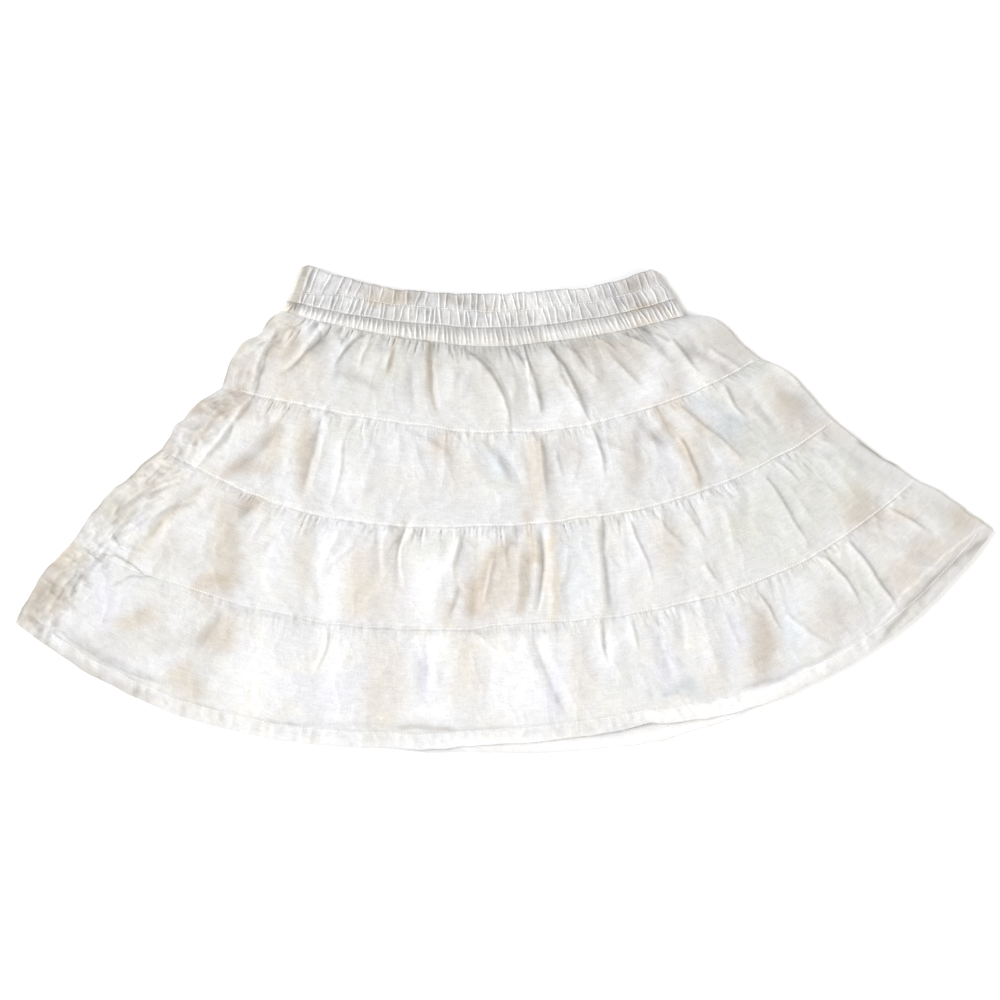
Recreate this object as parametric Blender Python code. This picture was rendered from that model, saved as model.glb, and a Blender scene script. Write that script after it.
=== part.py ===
"""Four-tier gathered linen skirt on an elastic waistband, laid flat on a surface.

Metres, +X to the wearer's left, +Y towards the waist, +Z up from the surface.
The origin is on the surface, under the middle of the garment's outline.
Each level of the skirt is a flattened ring: the front lies on the back, and the
two are joined at side seams. The garment lies turned a little, so the seam on the
-X side shows on top and the seam on the +X side is underneath.
"""
import math
from collections import namedtuple

import bmesh
import bpy

# Cloth and making-up.
CLOTH = 0.0012          # one layer of linen
CASING = 0.0026         # linen folded over its elastic
HEM_WALL = 0.0022       # turned-up lower edge of tier 4
HEM_DEPTH = 0.015
SEAM_GAP = 0.00035      # clearance where two pieces meet at a seam
HOLLOW = 0.0006         # space between back and front where nothing lifts the front

# Gathers of the waistband and of the shirred strip.
GATHER_COLUMNS = 72
CASING_PLEAT = 0.0022
SHIRRING_PLEAT = 0.0012
STITCHED_SHARE = 0.25   # share of a pleat's rise that is left at a line of stitching

# Tiers.
FRONT_COLUMNS = 36
BACK_COLUMNS = 18
FOLD_STEPS = 4          # facets round each side fold
PUFF_REACH = 0.12       # share of the width that a side's outward puff moves
LEFT_LEAN = -0.05       # how much each side's puff leans towards the upper seam
RIGHT_LEAN = 0.35
SETTLE = 0.030          # width at each side over which the front comes down flat
CASING_SETTLE = 0.015   # the same for the gathered bands
LOFT_FULLNESS = 0.7     # how squarely the loft rises between two seams (1 is a sine)
FOLD_FULLNESS = 0.6     # the same for a fold along its length

LINEN = (0.87, 0.85, 0.81, 1.0)
LINEN_ROUGHNESS = 0.9

# A level line runs from the fold on the -X side to the fold on the +X side.
# sag is its depth below the straight line between them, low the share of the way
# where it is lowest, and each bow how round it is on that side of the lowest place
# (2 is a parabola). turn is how far each side seam lies from its fold. hang is how
# much lower the line hangs at HANG_AT, fading out over HANG_LEFT and HANG_RIGHT.
Level = namedtuple(
    "Level", "left_x left_y right_x right_y sag low left_bow right_bow turn hang")
TOP_EDGE = Level(-0.182, 0.220, 0.137, 0.2165, 0.0255, 0.47, 2.5, 3.0, 0.009, 0.0)
CASING_FOOT = Level(-0.196, 0.186, 0.153, 0.188, 0.025, 0.49, 1.6, 2.3, 0.012, 0.0)
SHIRRING_FOOT = Level(-0.201, 0.177, 0.162, 0.173, 0.030, 0.52, 1.7, 1.6, 0.016, 0.0)
SEAM_1 = Level(-0.254, 0.108, 0.230, 0.134, 0.056, 0.55, 1.5, 2.1, 0.016, 0.0)
SEAM_2 = Level(-0.308, 0.053, 0.297, 0.078, 0.082, 0.48, 2.4, 2.7, 0.020, 0.0)
SEAM_3 = Level(-0.388, -0.030, 0.370, 0.025, 0.105, 0.50, 2.1, 3.2, 0.025, 0.0)
FRONT_HEM = Level(-0.440, -0.103, 0.440, -0.020, 0.150, 0.53, 2.75, 3.4, 0.025, 0.0)
BACK_HEM = FRONT_HEM._replace(hang=0.0140)
HANG_AT = 0.63
HANG_LEFT = 0.30
HANG_RIGHT = 0.17

# One row for each band of the skirt. puff is how far its sides swell out between
# its two seams, loft how high its front stands between them.
Band = namedtuple(
    "Band", "name upper front_lower back_lower wall left_puff right_puff loft")
WAISTBAND = Band("waistband", TOP_EDGE, CASING_FOOT, CASING_FOOT, CASING,
                 0.0, 0.0, 0.0)
SHIRRING = Band("shirring", CASING_FOOT, SHIRRING_FOOT, SHIRRING_FOOT, CLOTH,
                0.0, 0.0, 0.0)
TIERS = (
    Band("tier_1", SHIRRING_FOOT, SEAM_1, SEAM_1, CLOTH, 0.0105, 0.009, 0.0035),
    Band("tier_2", SEAM_1, SEAM_2, SEAM_2, CLOTH, 0.006, 0.006, 0.0035),
    Band("tier_3", SEAM_2, SEAM_3, SEAM_3, CLOTH, 0.006, -0.001, 0.0040),
    Band("tier_4", SEAM_3, FRONT_HEM, BACK_HEM, CLOTH, 0.004, 0.003, 0.0030),
)

# Rows of facets down each band, as shares of its depth. Tier 4 has rows of its own
# at its hem in place of its last two.
CASING_ROWS = (0.0, 0.25, 0.5, 0.75, 1.0)
SHIRRING_ROWS = (0.0, 0.5, 1.0)
TIER_ROWS = (0.0, 0.18, 0.38, 0.6, 0.82, 1.0)
HEM_STEP = 0.015        # share over which tier 4 thickens into its hem

# The largest folds of the front: ridges that start at start_t across and start_v
# down their tier and run to end_t, end_v. width is from crest to foot.
Fold = namedtuple("Fold", "tier start_t start_v end_t end_v height width")
FOLDS = (
    Fold("tier_1", 0.055, 0.0, 0.075, 1.0, 0.0060, 0.016),
    Fold("tier_1", 0.150, 0.0, 0.110, 0.6, 0.0040, 0.014),
    Fold("tier_1", 0.240, 0.0, 0.190, 0.5, 0.0040, 0.014),
    Fold("tier_1", 0.370, 0.0, 0.390, 1.0, 0.0045, 0.015),
    Fold("tier_1", 0.440, 0.0, 0.530, 1.0, 0.0060, 0.016),
    Fold("tier_1", 0.560, 0.0, 0.590, 1.0, 0.0050, 0.014),
    Fold("tier_1", 0.640, 0.0, 0.690, 1.0, 0.0060, 0.017),
    Fold("tier_1", 0.830, 0.0, 0.860, 0.9, 0.0035, 0.018),
    Fold("tier_2", 0.080, 0.0, 0.055, 1.0, 0.0055, 0.018),
    Fold("tier_2", 0.185, 0.0, 0.215, 1.0, 0.0035, 0.020),
    Fold("tier_2", 0.330, 0.0, 0.330, 0.9, 0.0030, 0.022),
    Fold("tier_2", 0.430, 0.0, 0.450, 1.0, 0.0045, 0.020),
    Fold("tier_2", 0.585, 0.0, 0.580, 1.0, 0.0060, 0.020),
    Fold("tier_2", 0.690, 0.0, 0.700, 1.0, 0.0045, 0.020),
    Fold("tier_2", 0.815, 0.0, 0.800, 1.0, 0.0055, 0.020),
    Fold("tier_2", 0.910, 0.0, 0.900, 0.7, 0.0035, 0.018),
    Fold("tier_3", 0.090, 0.0, 0.085, 1.0, 0.0045, 0.022),
    Fold("tier_3", 0.190, 0.0, 0.200, 1.0, 0.0040, 0.026),
    Fold("tier_3", 0.300, 0.0, 0.280, 0.9, 0.0045, 0.024),
    Fold("tier_3", 0.400, 0.0, 0.395, 1.0, 0.0055, 0.026),
    Fold("tier_3", 0.510, 0.0, 0.505, 1.0, 0.0050, 0.024),
    Fold("tier_3", 0.600, 0.0, 0.600, 1.0, 0.0075, 0.026),
    Fold("tier_3", 0.700, 0.0, 0.690, 1.0, 0.0050, 0.022),
    Fold("tier_3", 0.800, 0.0, 0.800, 0.9, 0.0045, 0.024),
    Fold("tier_3", 0.900, 0.0, 0.900, 1.0, 0.0050, 0.022),
    Fold("tier_4", 0.090, 0.0, 0.110, 1.5, 0.0045, 0.028),
    Fold("tier_4", 0.215, 0.0, 0.220, 1.4, 0.0045, 0.030),
    Fold("tier_4", 0.330, 0.0, 0.340, 1.5, 0.0050, 0.026),
    Fold("tier_4", 0.450, 0.0, 0.450, 1.4, 0.0045, 0.028),
    Fold("tier_4", 0.560, 0.0, 0.575, 1.5, 0.0070, 0.030),
    Fold("tier_4", 0.680, 0.0, 0.685, 1.4, 0.0050, 0.028),
    Fold("tier_4", 0.790, 0.0, 0.790, 1.5, 0.0060, 0.028),
    Fold("tier_4", 0.895, 0.0, 0.905, 1.2, 0.0045, 0.026),
)


def mix(first, second, share):
    """Value a share of the way from the first to the second."""
    return first + (second - first) * share


def ease(share):
    """Smooth step from 0 to 1, held at its ends."""
    held = min(max(share, 0.0), 1.0)
    return held * held * (3.0 - 2.0 * held)


def level_place(level, t):
    """X and Y of a level line, t across from the -X fold to the +X fold."""
    if t < level.low:
        bow = ((level.low - t) / level.low) ** level.left_bow
    else:
        bow = ((t - level.low) / (1.0 - level.low)) ** level.right_bow
    x = mix(level.left_x, level.right_x, t)
    y = mix(level.left_y, level.right_y, t) - level.sag * (1.0 - bow)
    reach = HANG_LEFT if t < HANG_AT else HANG_RIGHT
    return x, y - level.hang * (1.0 - ease(abs(t - HANG_AT) / reach))


def outward(upper_end, lower_end, side):
    """Unit direction out from a band's straight side; side is -1 or +1."""
    run = lower_end[0] - upper_end[0]
    drop = upper_end[1] - lower_end[1]
    length = math.hypot(run, drop)
    return side * drop / length, side * run / length


def band_place(band, lower, t, v):
    """X and Y at t across and v down a band, with its sides puffed out."""
    upper_x, upper_y = level_place(band.upper, t)
    lower_x, lower_y = level_place(lower, t)
    x = mix(upper_x, lower_x, v)
    y = mix(upper_y, lower_y, v)
    for side, puff, lean, inward in ((-1, band.left_puff, LEFT_LEAN, t),
                                     (1, band.right_puff, RIGHT_LEAN, 1.0 - t)):
        swell = math.sin(math.pi * v) + lean * math.sin(2.0 * math.pi * v)
        fade = 1.0 - ease(inward / PUFF_REACH)
        end = 0.0 if side < 0 else 1.0
        out_x, out_y = outward(level_place(band.upper, end),
                               level_place(lower, end), side)
        x += puff * swell * fade * out_x
        y += puff * swell * fade * out_y
    return x, y


def width_at(band, v):
    """Straight distance between a band's two folds, v down it."""
    upper = band.upper.right_x - band.upper.left_x
    lower = band.front_lower.right_x - band.front_lower.left_x
    return mix(upper, lower, v)


def turn_at(band, v):
    """Distance of the side seams from their folds, v down a band."""
    return mix(band.upper.turn, band.front_lower.turn, v)


def fold_height(fold, t, v, width):
    """Height that one fold adds at t, v."""
    if not fold.start_v <= v <= fold.end_v:
        return 0.0
    along = (v - fold.start_v) / (fold.end_v - fold.start_v)
    crest_t = mix(fold.start_t, fold.end_t, along)
    across = abs(t - crest_t) * width / fold.width
    body = math.sin(math.pi * along) ** FOLD_FULLNESS
    return fold.height * body * (1.0 - ease(across))


def tier_rise(band, t, v):
    """Height of a tier's front above where it would lie flat."""
    width = width_at(band, v)
    side = min(t, 1.0 - t) * width
    lift = band.loft * math.sin(math.pi * v) ** LOFT_FULLNESS
    for fold in FOLDS:
        if fold.tier == band.name:
            lift += fold_height(fold, t, v, width)
    return lift * ease(side / SETTLE)


def gathered_rise(pleat, rows_between_stitches):
    """Rise of a gathered band: pleats that flatten at each line of stitching."""
    def rise(band, t, v):
        pleats = 0.5 + 0.5 * math.cos(math.pi * t * GATHER_COLUMNS)
        free = abs(math.sin(math.pi * v * rows_between_stitches))
        side = min(t, 1.0 - t) * width_at(band, v)
        height = pleat * mix(STITCHED_SHARE, 1.0, free)
        return height * pleats * ease(side / CASING_SETTLE)
    return rise


def hem_share():
    """Share of tier 4's depth where its turned-up hem starts."""
    depth = level_place(SEAM_3, 0.5)[1] - level_place(FRONT_HEM, 0.5)[1]
    return 1.0 - HEM_DEPTH / depth


def wall_at(band, v):
    """Wall of a band; tier 4 thickens over its turned-up hem."""
    if band.name == "tier_4" and v > hem_share() - 0.5 * HEM_STEP:
        return HEM_WALL
    return band.wall


def seam_trim(band, lower):
    """Share of a band's depth that its half of a seam gap takes where it is least."""
    depths = []
    for t in (0.0, 0.5, 1.0):
        upper_x, upper_y = level_place(band.upper, t)
        lower_x, lower_y = level_place(lower, t)
        depths.append(math.hypot(upper_x - lower_x, upper_y - lower_y))
    return 0.5 * SEAM_GAP / min(depths)


class Row:
    """One level of a band: the flattened ring that its front and back share."""

    def __init__(self, band, v, rise):
        self.band = band
        self.v = v
        self.rise = rise
        self.wall = wall_at(band, v)
        self.width = width_at(band, v)
        self.radius = self.wall + 0.5 * HOLLOW
        self.fold_t = self.radius / self.width
        self.seam_t = turn_at(band, v) / self.width
        self.trim_t = 0.5 * SEAM_GAP / self.width

    def top(self, t):
        """Outer and inner point of the layer that shows from above."""
        x, y = band_place(self.band, self.band.front_lower, t, self.v)
        z = 2.0 * self.radius + self.rise(self.band, t, self.v)
        return (x, y, z), (x, y, z - self.wall)

    def under(self, t):
        """Outer and inner point of the layer that rests on the surface."""
        x, y = band_place(self.band, self.band.back_lower, t, self.v)
        return (x, y, 0.0), (x, y, self.wall)

    def side_fold(self, side):
        """Points round a side fold, from the top down, along the level line."""
        centre_t = self.fold_t if side < 0 else 1.0 - self.fold_t
        points = []
        for step in range(1, FOLD_STEPS):
            angle = math.pi * (0.5 - step / FOLD_STEPS)
            share = 0.5 - 0.5 * math.sin(angle)
            pair = []
            for radius in (self.radius, self.radius - self.wall):
                t = centre_t + side * radius * math.cos(angle) / self.width
                top_x, top_y, _ = self.top(t)[0]
                under_x, under_y, _ = self.under(t)[0]
                pair.append((mix(top_x, under_x, share), mix(top_y, under_y, share),
                             self.radius + radius * math.sin(angle)))
            points.append(tuple(pair))
        return points

    def front(self, columns):
        """Front: from the -X side seam over the top and under the +X fold."""
        first = self.seam_t + self.trim_t
        last = 1.0 - self.fold_t
        points = [self.top(mix(first, last, step / columns))
                  for step in range(columns + 1)]
        points += self.side_fold(1)
        points.append(self.under(last))
        points.append(self.under(1.0 - self.seam_t + self.trim_t))
        return points

    def back(self, columns):
        """Back: from the +X side seam, underneath and up over the -X fold."""
        first = 1.0 - self.seam_t - self.trim_t
        last = self.fold_t
        points = [self.under(mix(first, last, step / columns))
                  for step in range(columns + 1)]
        points += reversed(self.side_fold(-1))
        points.append(self.top(last))
        points.append(self.top(self.seam_t - self.trim_t))
        return points


def closed_wall(name, rows):
    """Object with the walls between rows of outer and inner points, closed round."""
    shell = bmesh.new()
    outer = [[shell.verts.new(pair[0]) for pair in row] for row in rows]
    inner = [[shell.verts.new(pair[1]) for pair in row] for row in rows]
    last_row = len(rows) - 1
    last_column = len(rows[0]) - 1
    for layer in (outer, inner):
        for i in range(last_row):
            for j in range(last_column):
                shell.faces.new((layer[i][j], layer[i][j + 1],
                                 layer[i + 1][j + 1], layer[i + 1][j]))
    for i in (0, last_row):
        for j in range(last_column):
            shell.faces.new((outer[i][j], outer[i][j + 1],
                             inner[i][j + 1], inner[i][j]))
    for j in (0, last_column):
        for i in range(last_row):
            shell.faces.new((outer[i][j], outer[i + 1][j],
                             inner[i + 1][j], inner[i][j]))
    bmesh.ops.recalc_face_normals(shell, faces=shell.faces)
    mesh = bpy.data.meshes.new(name)
    shell.to_mesh(mesh)
    shell.free()
    piece = bpy.data.objects.new(name, mesh)
    bpy.context.scene.collection.objects.link(piece)
    return piece


def give_linen(piece):
    """Give a piece its own linen material."""
    material = bpy.data.materials.new(piece.name + "_linen")
    material.use_nodes = True
    shader = material.node_tree.nodes["Principled BSDF"]
    shader.inputs["Base Color"].default_value = LINEN
    shader.inputs["Roughness"].default_value = LINEN_ROUGHNESS
    shader.inputs["Metallic"].default_value = 0.0
    piece.data.materials.append(material)


def sew_band(band, rise, shares, front_columns, back_columns):
    """Make a band's front and its back, with the same rows so that they meet."""
    for side, lower in (("front", band.front_lower), ("back", band.back_lower)):
        trim = seam_trim(band, lower)
        rows = []
        for share in shares:
            row = Row(band, mix(trim, 1.0 - trim, share), rise)
            if side == "front":
                rows.append(row.front(front_columns))
            else:
                rows.append(row.back(back_columns))
        give_linen(closed_wall(band.name + "_" + side, rows))


def main():
    for old in list(bpy.data.objects):
        bpy.data.objects.remove(old, do_unlink=True)
    sew_band(WAISTBAND, gathered_rise(CASING_PLEAT, 2), CASING_ROWS,
             GATHER_COLUMNS, BACK_COLUMNS)
    sew_band(SHIRRING, gathered_rise(SHIRRING_PLEAT, 1), SHIRRING_ROWS,
             GATHER_COLUMNS, BACK_COLUMNS)
    for tier in TIERS:
        shares = TIER_ROWS
        if tier.name == "tier_4":
            shares = TIER_ROWS[:-2] + (hem_share() - HEM_STEP, hem_share(), 1.0)
        sew_band(tier, tier_rise, shares, FRONT_COLUMNS, BACK_COLUMNS)


main()
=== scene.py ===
# Looks of the tiered linen skirt, laid flat: cloth shells, stitching, light, camera.
import math
from collections import namedtuple

import bpy
import numpy as np
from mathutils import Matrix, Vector


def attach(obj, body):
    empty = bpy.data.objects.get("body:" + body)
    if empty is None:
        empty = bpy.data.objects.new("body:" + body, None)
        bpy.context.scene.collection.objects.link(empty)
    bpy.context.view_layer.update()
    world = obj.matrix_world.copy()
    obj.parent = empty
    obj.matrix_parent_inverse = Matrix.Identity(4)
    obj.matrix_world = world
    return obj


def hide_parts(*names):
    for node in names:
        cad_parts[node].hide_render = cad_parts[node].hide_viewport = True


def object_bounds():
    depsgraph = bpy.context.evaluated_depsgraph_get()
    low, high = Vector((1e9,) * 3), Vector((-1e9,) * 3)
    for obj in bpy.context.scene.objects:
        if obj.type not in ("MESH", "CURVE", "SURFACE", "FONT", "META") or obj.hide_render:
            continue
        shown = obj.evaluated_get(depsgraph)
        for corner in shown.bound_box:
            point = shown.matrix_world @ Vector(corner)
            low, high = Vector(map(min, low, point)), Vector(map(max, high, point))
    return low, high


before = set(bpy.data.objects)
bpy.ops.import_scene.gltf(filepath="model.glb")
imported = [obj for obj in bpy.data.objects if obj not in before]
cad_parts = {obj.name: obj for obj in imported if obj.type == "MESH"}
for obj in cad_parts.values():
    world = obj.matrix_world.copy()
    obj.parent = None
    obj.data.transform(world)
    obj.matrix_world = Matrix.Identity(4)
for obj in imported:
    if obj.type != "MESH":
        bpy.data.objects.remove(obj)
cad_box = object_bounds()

MM = 0.001

# --- The garment's sizes, as in its solids (metres) ---
Level = namedtuple("Level", "left_x left_y right_x right_y sag low left_bow right_bow "
                            "turn wander seed hang", defaults=(0.0,))
TOP_EDGE = Level(-0.182, 0.220, 0.137, 0.2165, 0.0255, 0.47, 2.5, 3.0, 0.009, 0.0012, 1)
CASING_FOOT = Level(-0.196, 0.186, 0.153, 0.188, 0.025, 0.49, 1.6, 2.3, 0.012, 0.0008, 2)
SHIRRING_FOOT = Level(-0.201, 0.177, 0.162, 0.173, 0.030, 0.52, 1.7, 1.6, 0.016, 0.0008, 3)
SEAM_1 = Level(-0.254, 0.108, 0.230, 0.134, 0.056, 0.55, 1.5, 2.1, 0.016, 0.0016, 4)
SEAM_2 = Level(-0.308, 0.053, 0.297, 0.078, 0.082, 0.48, 2.4, 2.7, 0.020, 0.0018, 5)
SEAM_3 = Level(-0.388, -0.030, 0.370, 0.025, 0.105, 0.50, 2.1, 3.2, 0.025, 0.0016, 6)
FRONT_HEM = Level(-0.440, -0.103, 0.440, -0.020, 0.150, 0.53, 2.75, 3.4, 0.025, 0.0016, 7)
BACK_HEM = FRONT_HEM._replace(hang=0.0140)
HANG_AT = 0.63          # where the back's hem hangs lowest under the front's
HANG_LEFT = 0.30
HANG_RIGHT = 0.17

# half is half the height of the flattened ring at its folds, loft the height of the
# front between its seams, gather the height of the puckers under the upper seam.
Band = namedtuple("Band", "name upper front_lower back_lower half seed left_puff "
                          "right_puff loft gather", defaults=(0.0, 0.0, 0.0, 0.0))
WAISTBAND = Band("waistband", TOP_EDGE, CASING_FOOT, CASING_FOOT, 0.0029, 11)
SHIRRING = Band("shirring", CASING_FOOT, SHIRRING_FOOT, SHIRRING_FOOT, 0.0025, 12)
TIER_1 = Band("tier_1", SHIRRING_FOOT, SEAM_1, SEAM_1, 0.0016, 13,
              0.0105, 0.009, 0.0026, 0.0028)
TIER_2 = Band("tier_2", SEAM_1, SEAM_2, SEAM_2, 0.0016, 14, 0.006, 0.006, 0.0026, 0.0013)
TIER_3 = Band("tier_3", SEAM_2, SEAM_3, SEAM_3, 0.0016, 15, 0.006, -0.001, 0.0030, 0.0019)
TIER_4 = Band("tier_4", SEAM_3, FRONT_HEM, BACK_HEM, 0.0016, 16,
              0.004, 0.003, 0.0024, 0.0010)
TIERS = (TIER_1, TIER_2, TIER_3, TIER_4)

# Flat cut of each panel: width and depth.
CUTS = {
    "waistband": (0.440, 0.034), "shirring": (0.420, 0.019), "tier_1": (0.500, 0.086),
    "tier_2": (0.640, 0.090), "tier_3": (0.790, 0.098), "tier_4": (0.930, 0.125),
}

CLOTH = 0.0006          # linen, a little thicker than real so that edges show
CASING_WALL = 0.0024
SHIRRING_WALL = 0.0016
HEM_WALL = 0.0011
HEM_DEPTH = 0.0145
HEM_LIFT = 0.0045       # a kink where the front hem rides up over the back's
HEM_LIFT_AT = 0.648
HEM_LIFT_REACH = 0.024
DROOP = 0.0011          # how far the free edge of the hem comes down
ALLOWANCE = 0.0055      # doubled cloth above each tier seam
SEAM_STEP = 0.0004
CORNER_DROP = 0.0036    # rounding of the waistband's upper corners
CORNER_REACH = 0.010
SCALLOP = 0.0008        # waviness of the waistband's upper edge
PUFF_REACH = 0.12       # share of the width that a puffed side takes up
LEFT_LEAN = -0.05       # where down each side the puff is fullest
RIGHT_LEAN = 0.35
DENT_AT = 0.31          # a dent in the -X side of tier 1
DENT_REACH = 0.12
DENT_DEPTH = 0.0055
SETTLE_LEFT = 0.013     # how far in from each fold the front reaches its height
SETTLE_RIGHT = 0.026
SETTLE_CASING = 0.005
BILLOW_SHARE = 0.62     # how much of the folds' heights is left after pressing
CREASE_SHARE = 0.80
CREST = 0.10            # how round a crease's crest is, as a share of its flank
STRAY_COUNT = 26        # small creases of each tier between the main ones
ROW_LENGTH = 0.37       # room for pleats along a gathered row
CALM_UNTIL = 0.45       # tier 4 is calmer from the -X fold to here
JOIN_POINTS = 2400      # points along a seam where two bands are made to meet
FOLD_STEPS = 9          # faces round a side fold
SEAM_ROW = 0.0019       # topstitching above a tier's lower seam
UNDER_SHARE = 0.35      # how much of the shading the hidden underside has
SHARP_ANGLE = math.radians(62.0)

# Folds of the front, in millimetres: each runs from x0, y0 down to x1, y1, and bend
# moves its middle towards +X. weight is the height of its ridge (or, below 0, the
# depth of its trough), and left and right are how far its flanks reach. Billows are
# broad and cross the seams.
Line = namedtuple("Line", "x0 y0 x1 y1 bend weight left right")
BILLOWS = (
    (-246, 12, -300, -175, 0, 5.5, 44, 36), (-176, 18, -196, -100, -2, 2.2, 30, 18),
    (-118, -4, -132, -205, -16, 5.5, 30, 48), (-42, -30, -50, -112, -3, 4.5, 40, 26),
    (-46, -112, -44, -190, 0, 2.6, 34, 30), (-14, -20, -20, -100, -2, 2.6, 8, 44),
    (37, -10, 42, -104, 3, 3.2, 7, 15), (24, 62, 34, -8, 2, 3, 8, 14),
    (80, -4, 86, -104, 1, 3.8, 34, 8), (60, -104, 64, -190, 0, 2.6, 16, 20),
    (132, 0, 146, -76, 1, 3, 28, 24), (196, -96, 178, -160, 0, 2.4, 22, 22),
    (212, -74, 222, -158, 0, 5, 22, 28), (276, -64, 288, -132, 3, 4.2, 34, 34),
    (-170, 92, -186, 4, 0, 3, 24, 20), (-212, 86, -262, 26, 0, 4, 24, 26),
    (-330, -64, -352, -130, 0, 3.4, 30, 40), (104, 72, 110, 6, 0, 2.4, 24, 16),
    (62, 70, 66, 4, 0, 2.6, 30, 20), (150, 112, 176, 12, 2, 3.4, 30, 18),
    (240, 118, 262, 60, 0, 3.4, 30, 30), (304, 44, 322, -10, 0, 3.2, 30, 26),
    (352, -40, 378, -80, 0, 3.4, 26, 30), (138, 150, 128, 96, 6, 4, 20, 30),
    (176, 130, 186, 92, 3, 3, 22, 26), (-140, 146, -150, 104, 0, 2.6, 20, 22),
    (-92, 140, -98, 100, 0, 2, 26, 18), (-40, 134, -36, 96, 0, 2.4, 24, 26),
    (-150, 60, -120, 16, 0, 2.2, 30, 36), (-80, 40, -76, 0, 0, 2, 30, 30),
)
CREASES = (
    # tier 1, at the -X side
    (-204, 160, -230, 102, -3, 2.6, 9, 2.5), (-184, 174, -214, 144, -2, 2.2, 8, 6),
    # the strip beside the -X fold of tiers 2 to 4
    (-364, -32, -322, -60, 2, -2.2, 2.5, 5), (-352, -28, -318, -42, -2, 2, 5, 2.5),
    (-292, 28, -343, -2, -3, -2, 3, 6), (-268, 20, -330, -40, -3, -3, 8, 9),
    (-312, 46, -296, 36, 0, 2, 2.5, 4), (-318, 40, -300, 28, 0, -1.8, 2.5, 4),
    # tier 1
    (-160, 166, -202, 118, 2, 3, 9, 2.5), (-146, 164, -176, 140, -2, -2.2, 6, 8),
    (-120, 162, -153, 126, -5, 3, 10, 3), (-115, 160, -132, 122, -3, 1.8, 4, 3),
    (-152, 122, -110, 102, 3, -1.6, 6, 8), (-97, 154, -108, 118, -1, 2.4, 9, 3),
    (-66, 152, -60, 84, -3, -2.8, 6, 4), (-50, 148, -44, 132, 0, -2.4, 2.5, 4),
    (-36, 142, 3, 68, 11, 3.4, 14, 2.5), (8, 144, 22, 124, 2, -2.4, 2.5, 6),
    (15, 147, 33, 84, 3, 3.4, 11, 2.5), (37, 149, 75, 77, 2, 4.2, 12, 2.5),
    (58, 148, 92, 108, -4, 1.6, 8, 3), (78, 154, 100, 141, 1, 2.6, 6, 2),
    (98, 158, 132, 141, 2, 3, 7, 2.2), (118, 160, 152, 144, 2, 2.2, 7, 3),
    (150, 150, 176, 119, 0, 3.2, 11, 3), (186, 142, 214, 122, 0, 2, 8, 3),
    # tier 2
    (-228, 101, -285, 27, 1, 2.6, 6, 4), (-166, 86, -184, 6, 2, -4.6, 12, 7),
    (-196, 76, -244, 32, 2, -4, 12, 12), (-88, 68, -48, 42, 4, 2.2, 10, 4),
    (-16, 61, 20, 6, 6, -1.9, 10, 8), (30, 70, 37, 10, 1, 3.4, 11, 2.5),
    (77, 76, 90, 28, 1, 3.4, 13, 2.5), (122, 80, 162, 57, -4, -5, 9, 10),
    (157, 64, 175, 12, 3, 3.8, 12, 3), (146, 96, 222, 34, 3, 2.6, 14, 3.5),
    (134, 90, 176, 16, 5, -2.4, 7, 9), (196, 110, 218, 80, -2, 2.8, 9, 2.5),
    (272, 66, 298, 54, 0, 1.6, 6, 3), (238, 44, 266, 20, 2, 1.8, 7, 2),
    # tier 3
    (-218, 8, -238, -10, 0, -4, 9, 7), (-143, -10, -168, -71, -3, 2.8, 11, 9),
    (-86, -12, -94, -70, -5, -3.6, 14, 3), (-38, -24, -46, -64, -2, 2.6, 7, 2.5),
    (-40, -70, -50, -98, 0, -2.2, 3, 9), (-10, -48, -18, -84, 0, 1.8, 2.5, 4),
    (30, -16, 27, -98, 5, -3.8, 5, 3.5), (12, -34, 10, -94, 2, 2.6, 10, 9),
    (88, -8, 95, -100, -1, -2.4, 3.5, 5.5), (112, -12, 132, -70, 1, 2.2, 9, 2.5),
    (136, -6, 162, -38, 0, 1.6, 8, 3), (162, -2, 188, -40, 0, 1.2, 8, 3),
    (180, -49, 196, -70, 0, 1.8, 8, 2.5), (232, 28, 277, -43, 3, 2.3, 16, 2.4),
    # tier 4
    (-392, -84, -374, -54, 0, -2.2, 3, 8), (-250, -92, -276, -128, 0, -3, 8, 12),
    (-158, -106, -172, -150, 3, 2.2, 5, 2.5), (-71, -122, -70, -168, 0, -2.8, 12, 7),
    (26, -114, 60, -194, -3, -3.6, 9, 10), (88, -96, 92, -136, 0, -3.6, 2.5, 6),
    (112, -96, 121, -130, 0, 2.2, 8, 2.5), (134, -98, 152, -156, 0, -2.6, 9, 9),
    (198, -92, 211, -132, 0, 1.2, 9, 4), (226, -76, 249, -112, 1, 2, 9, 2),
    (284, -44, 319, -88, 3, 2.6, 12, 1.8), (308, -30, 355, -95, 2, 3, 12, 1.8),
    (342, 0, 384, -24, 1, 2.6, 9, 2),
)

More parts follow.
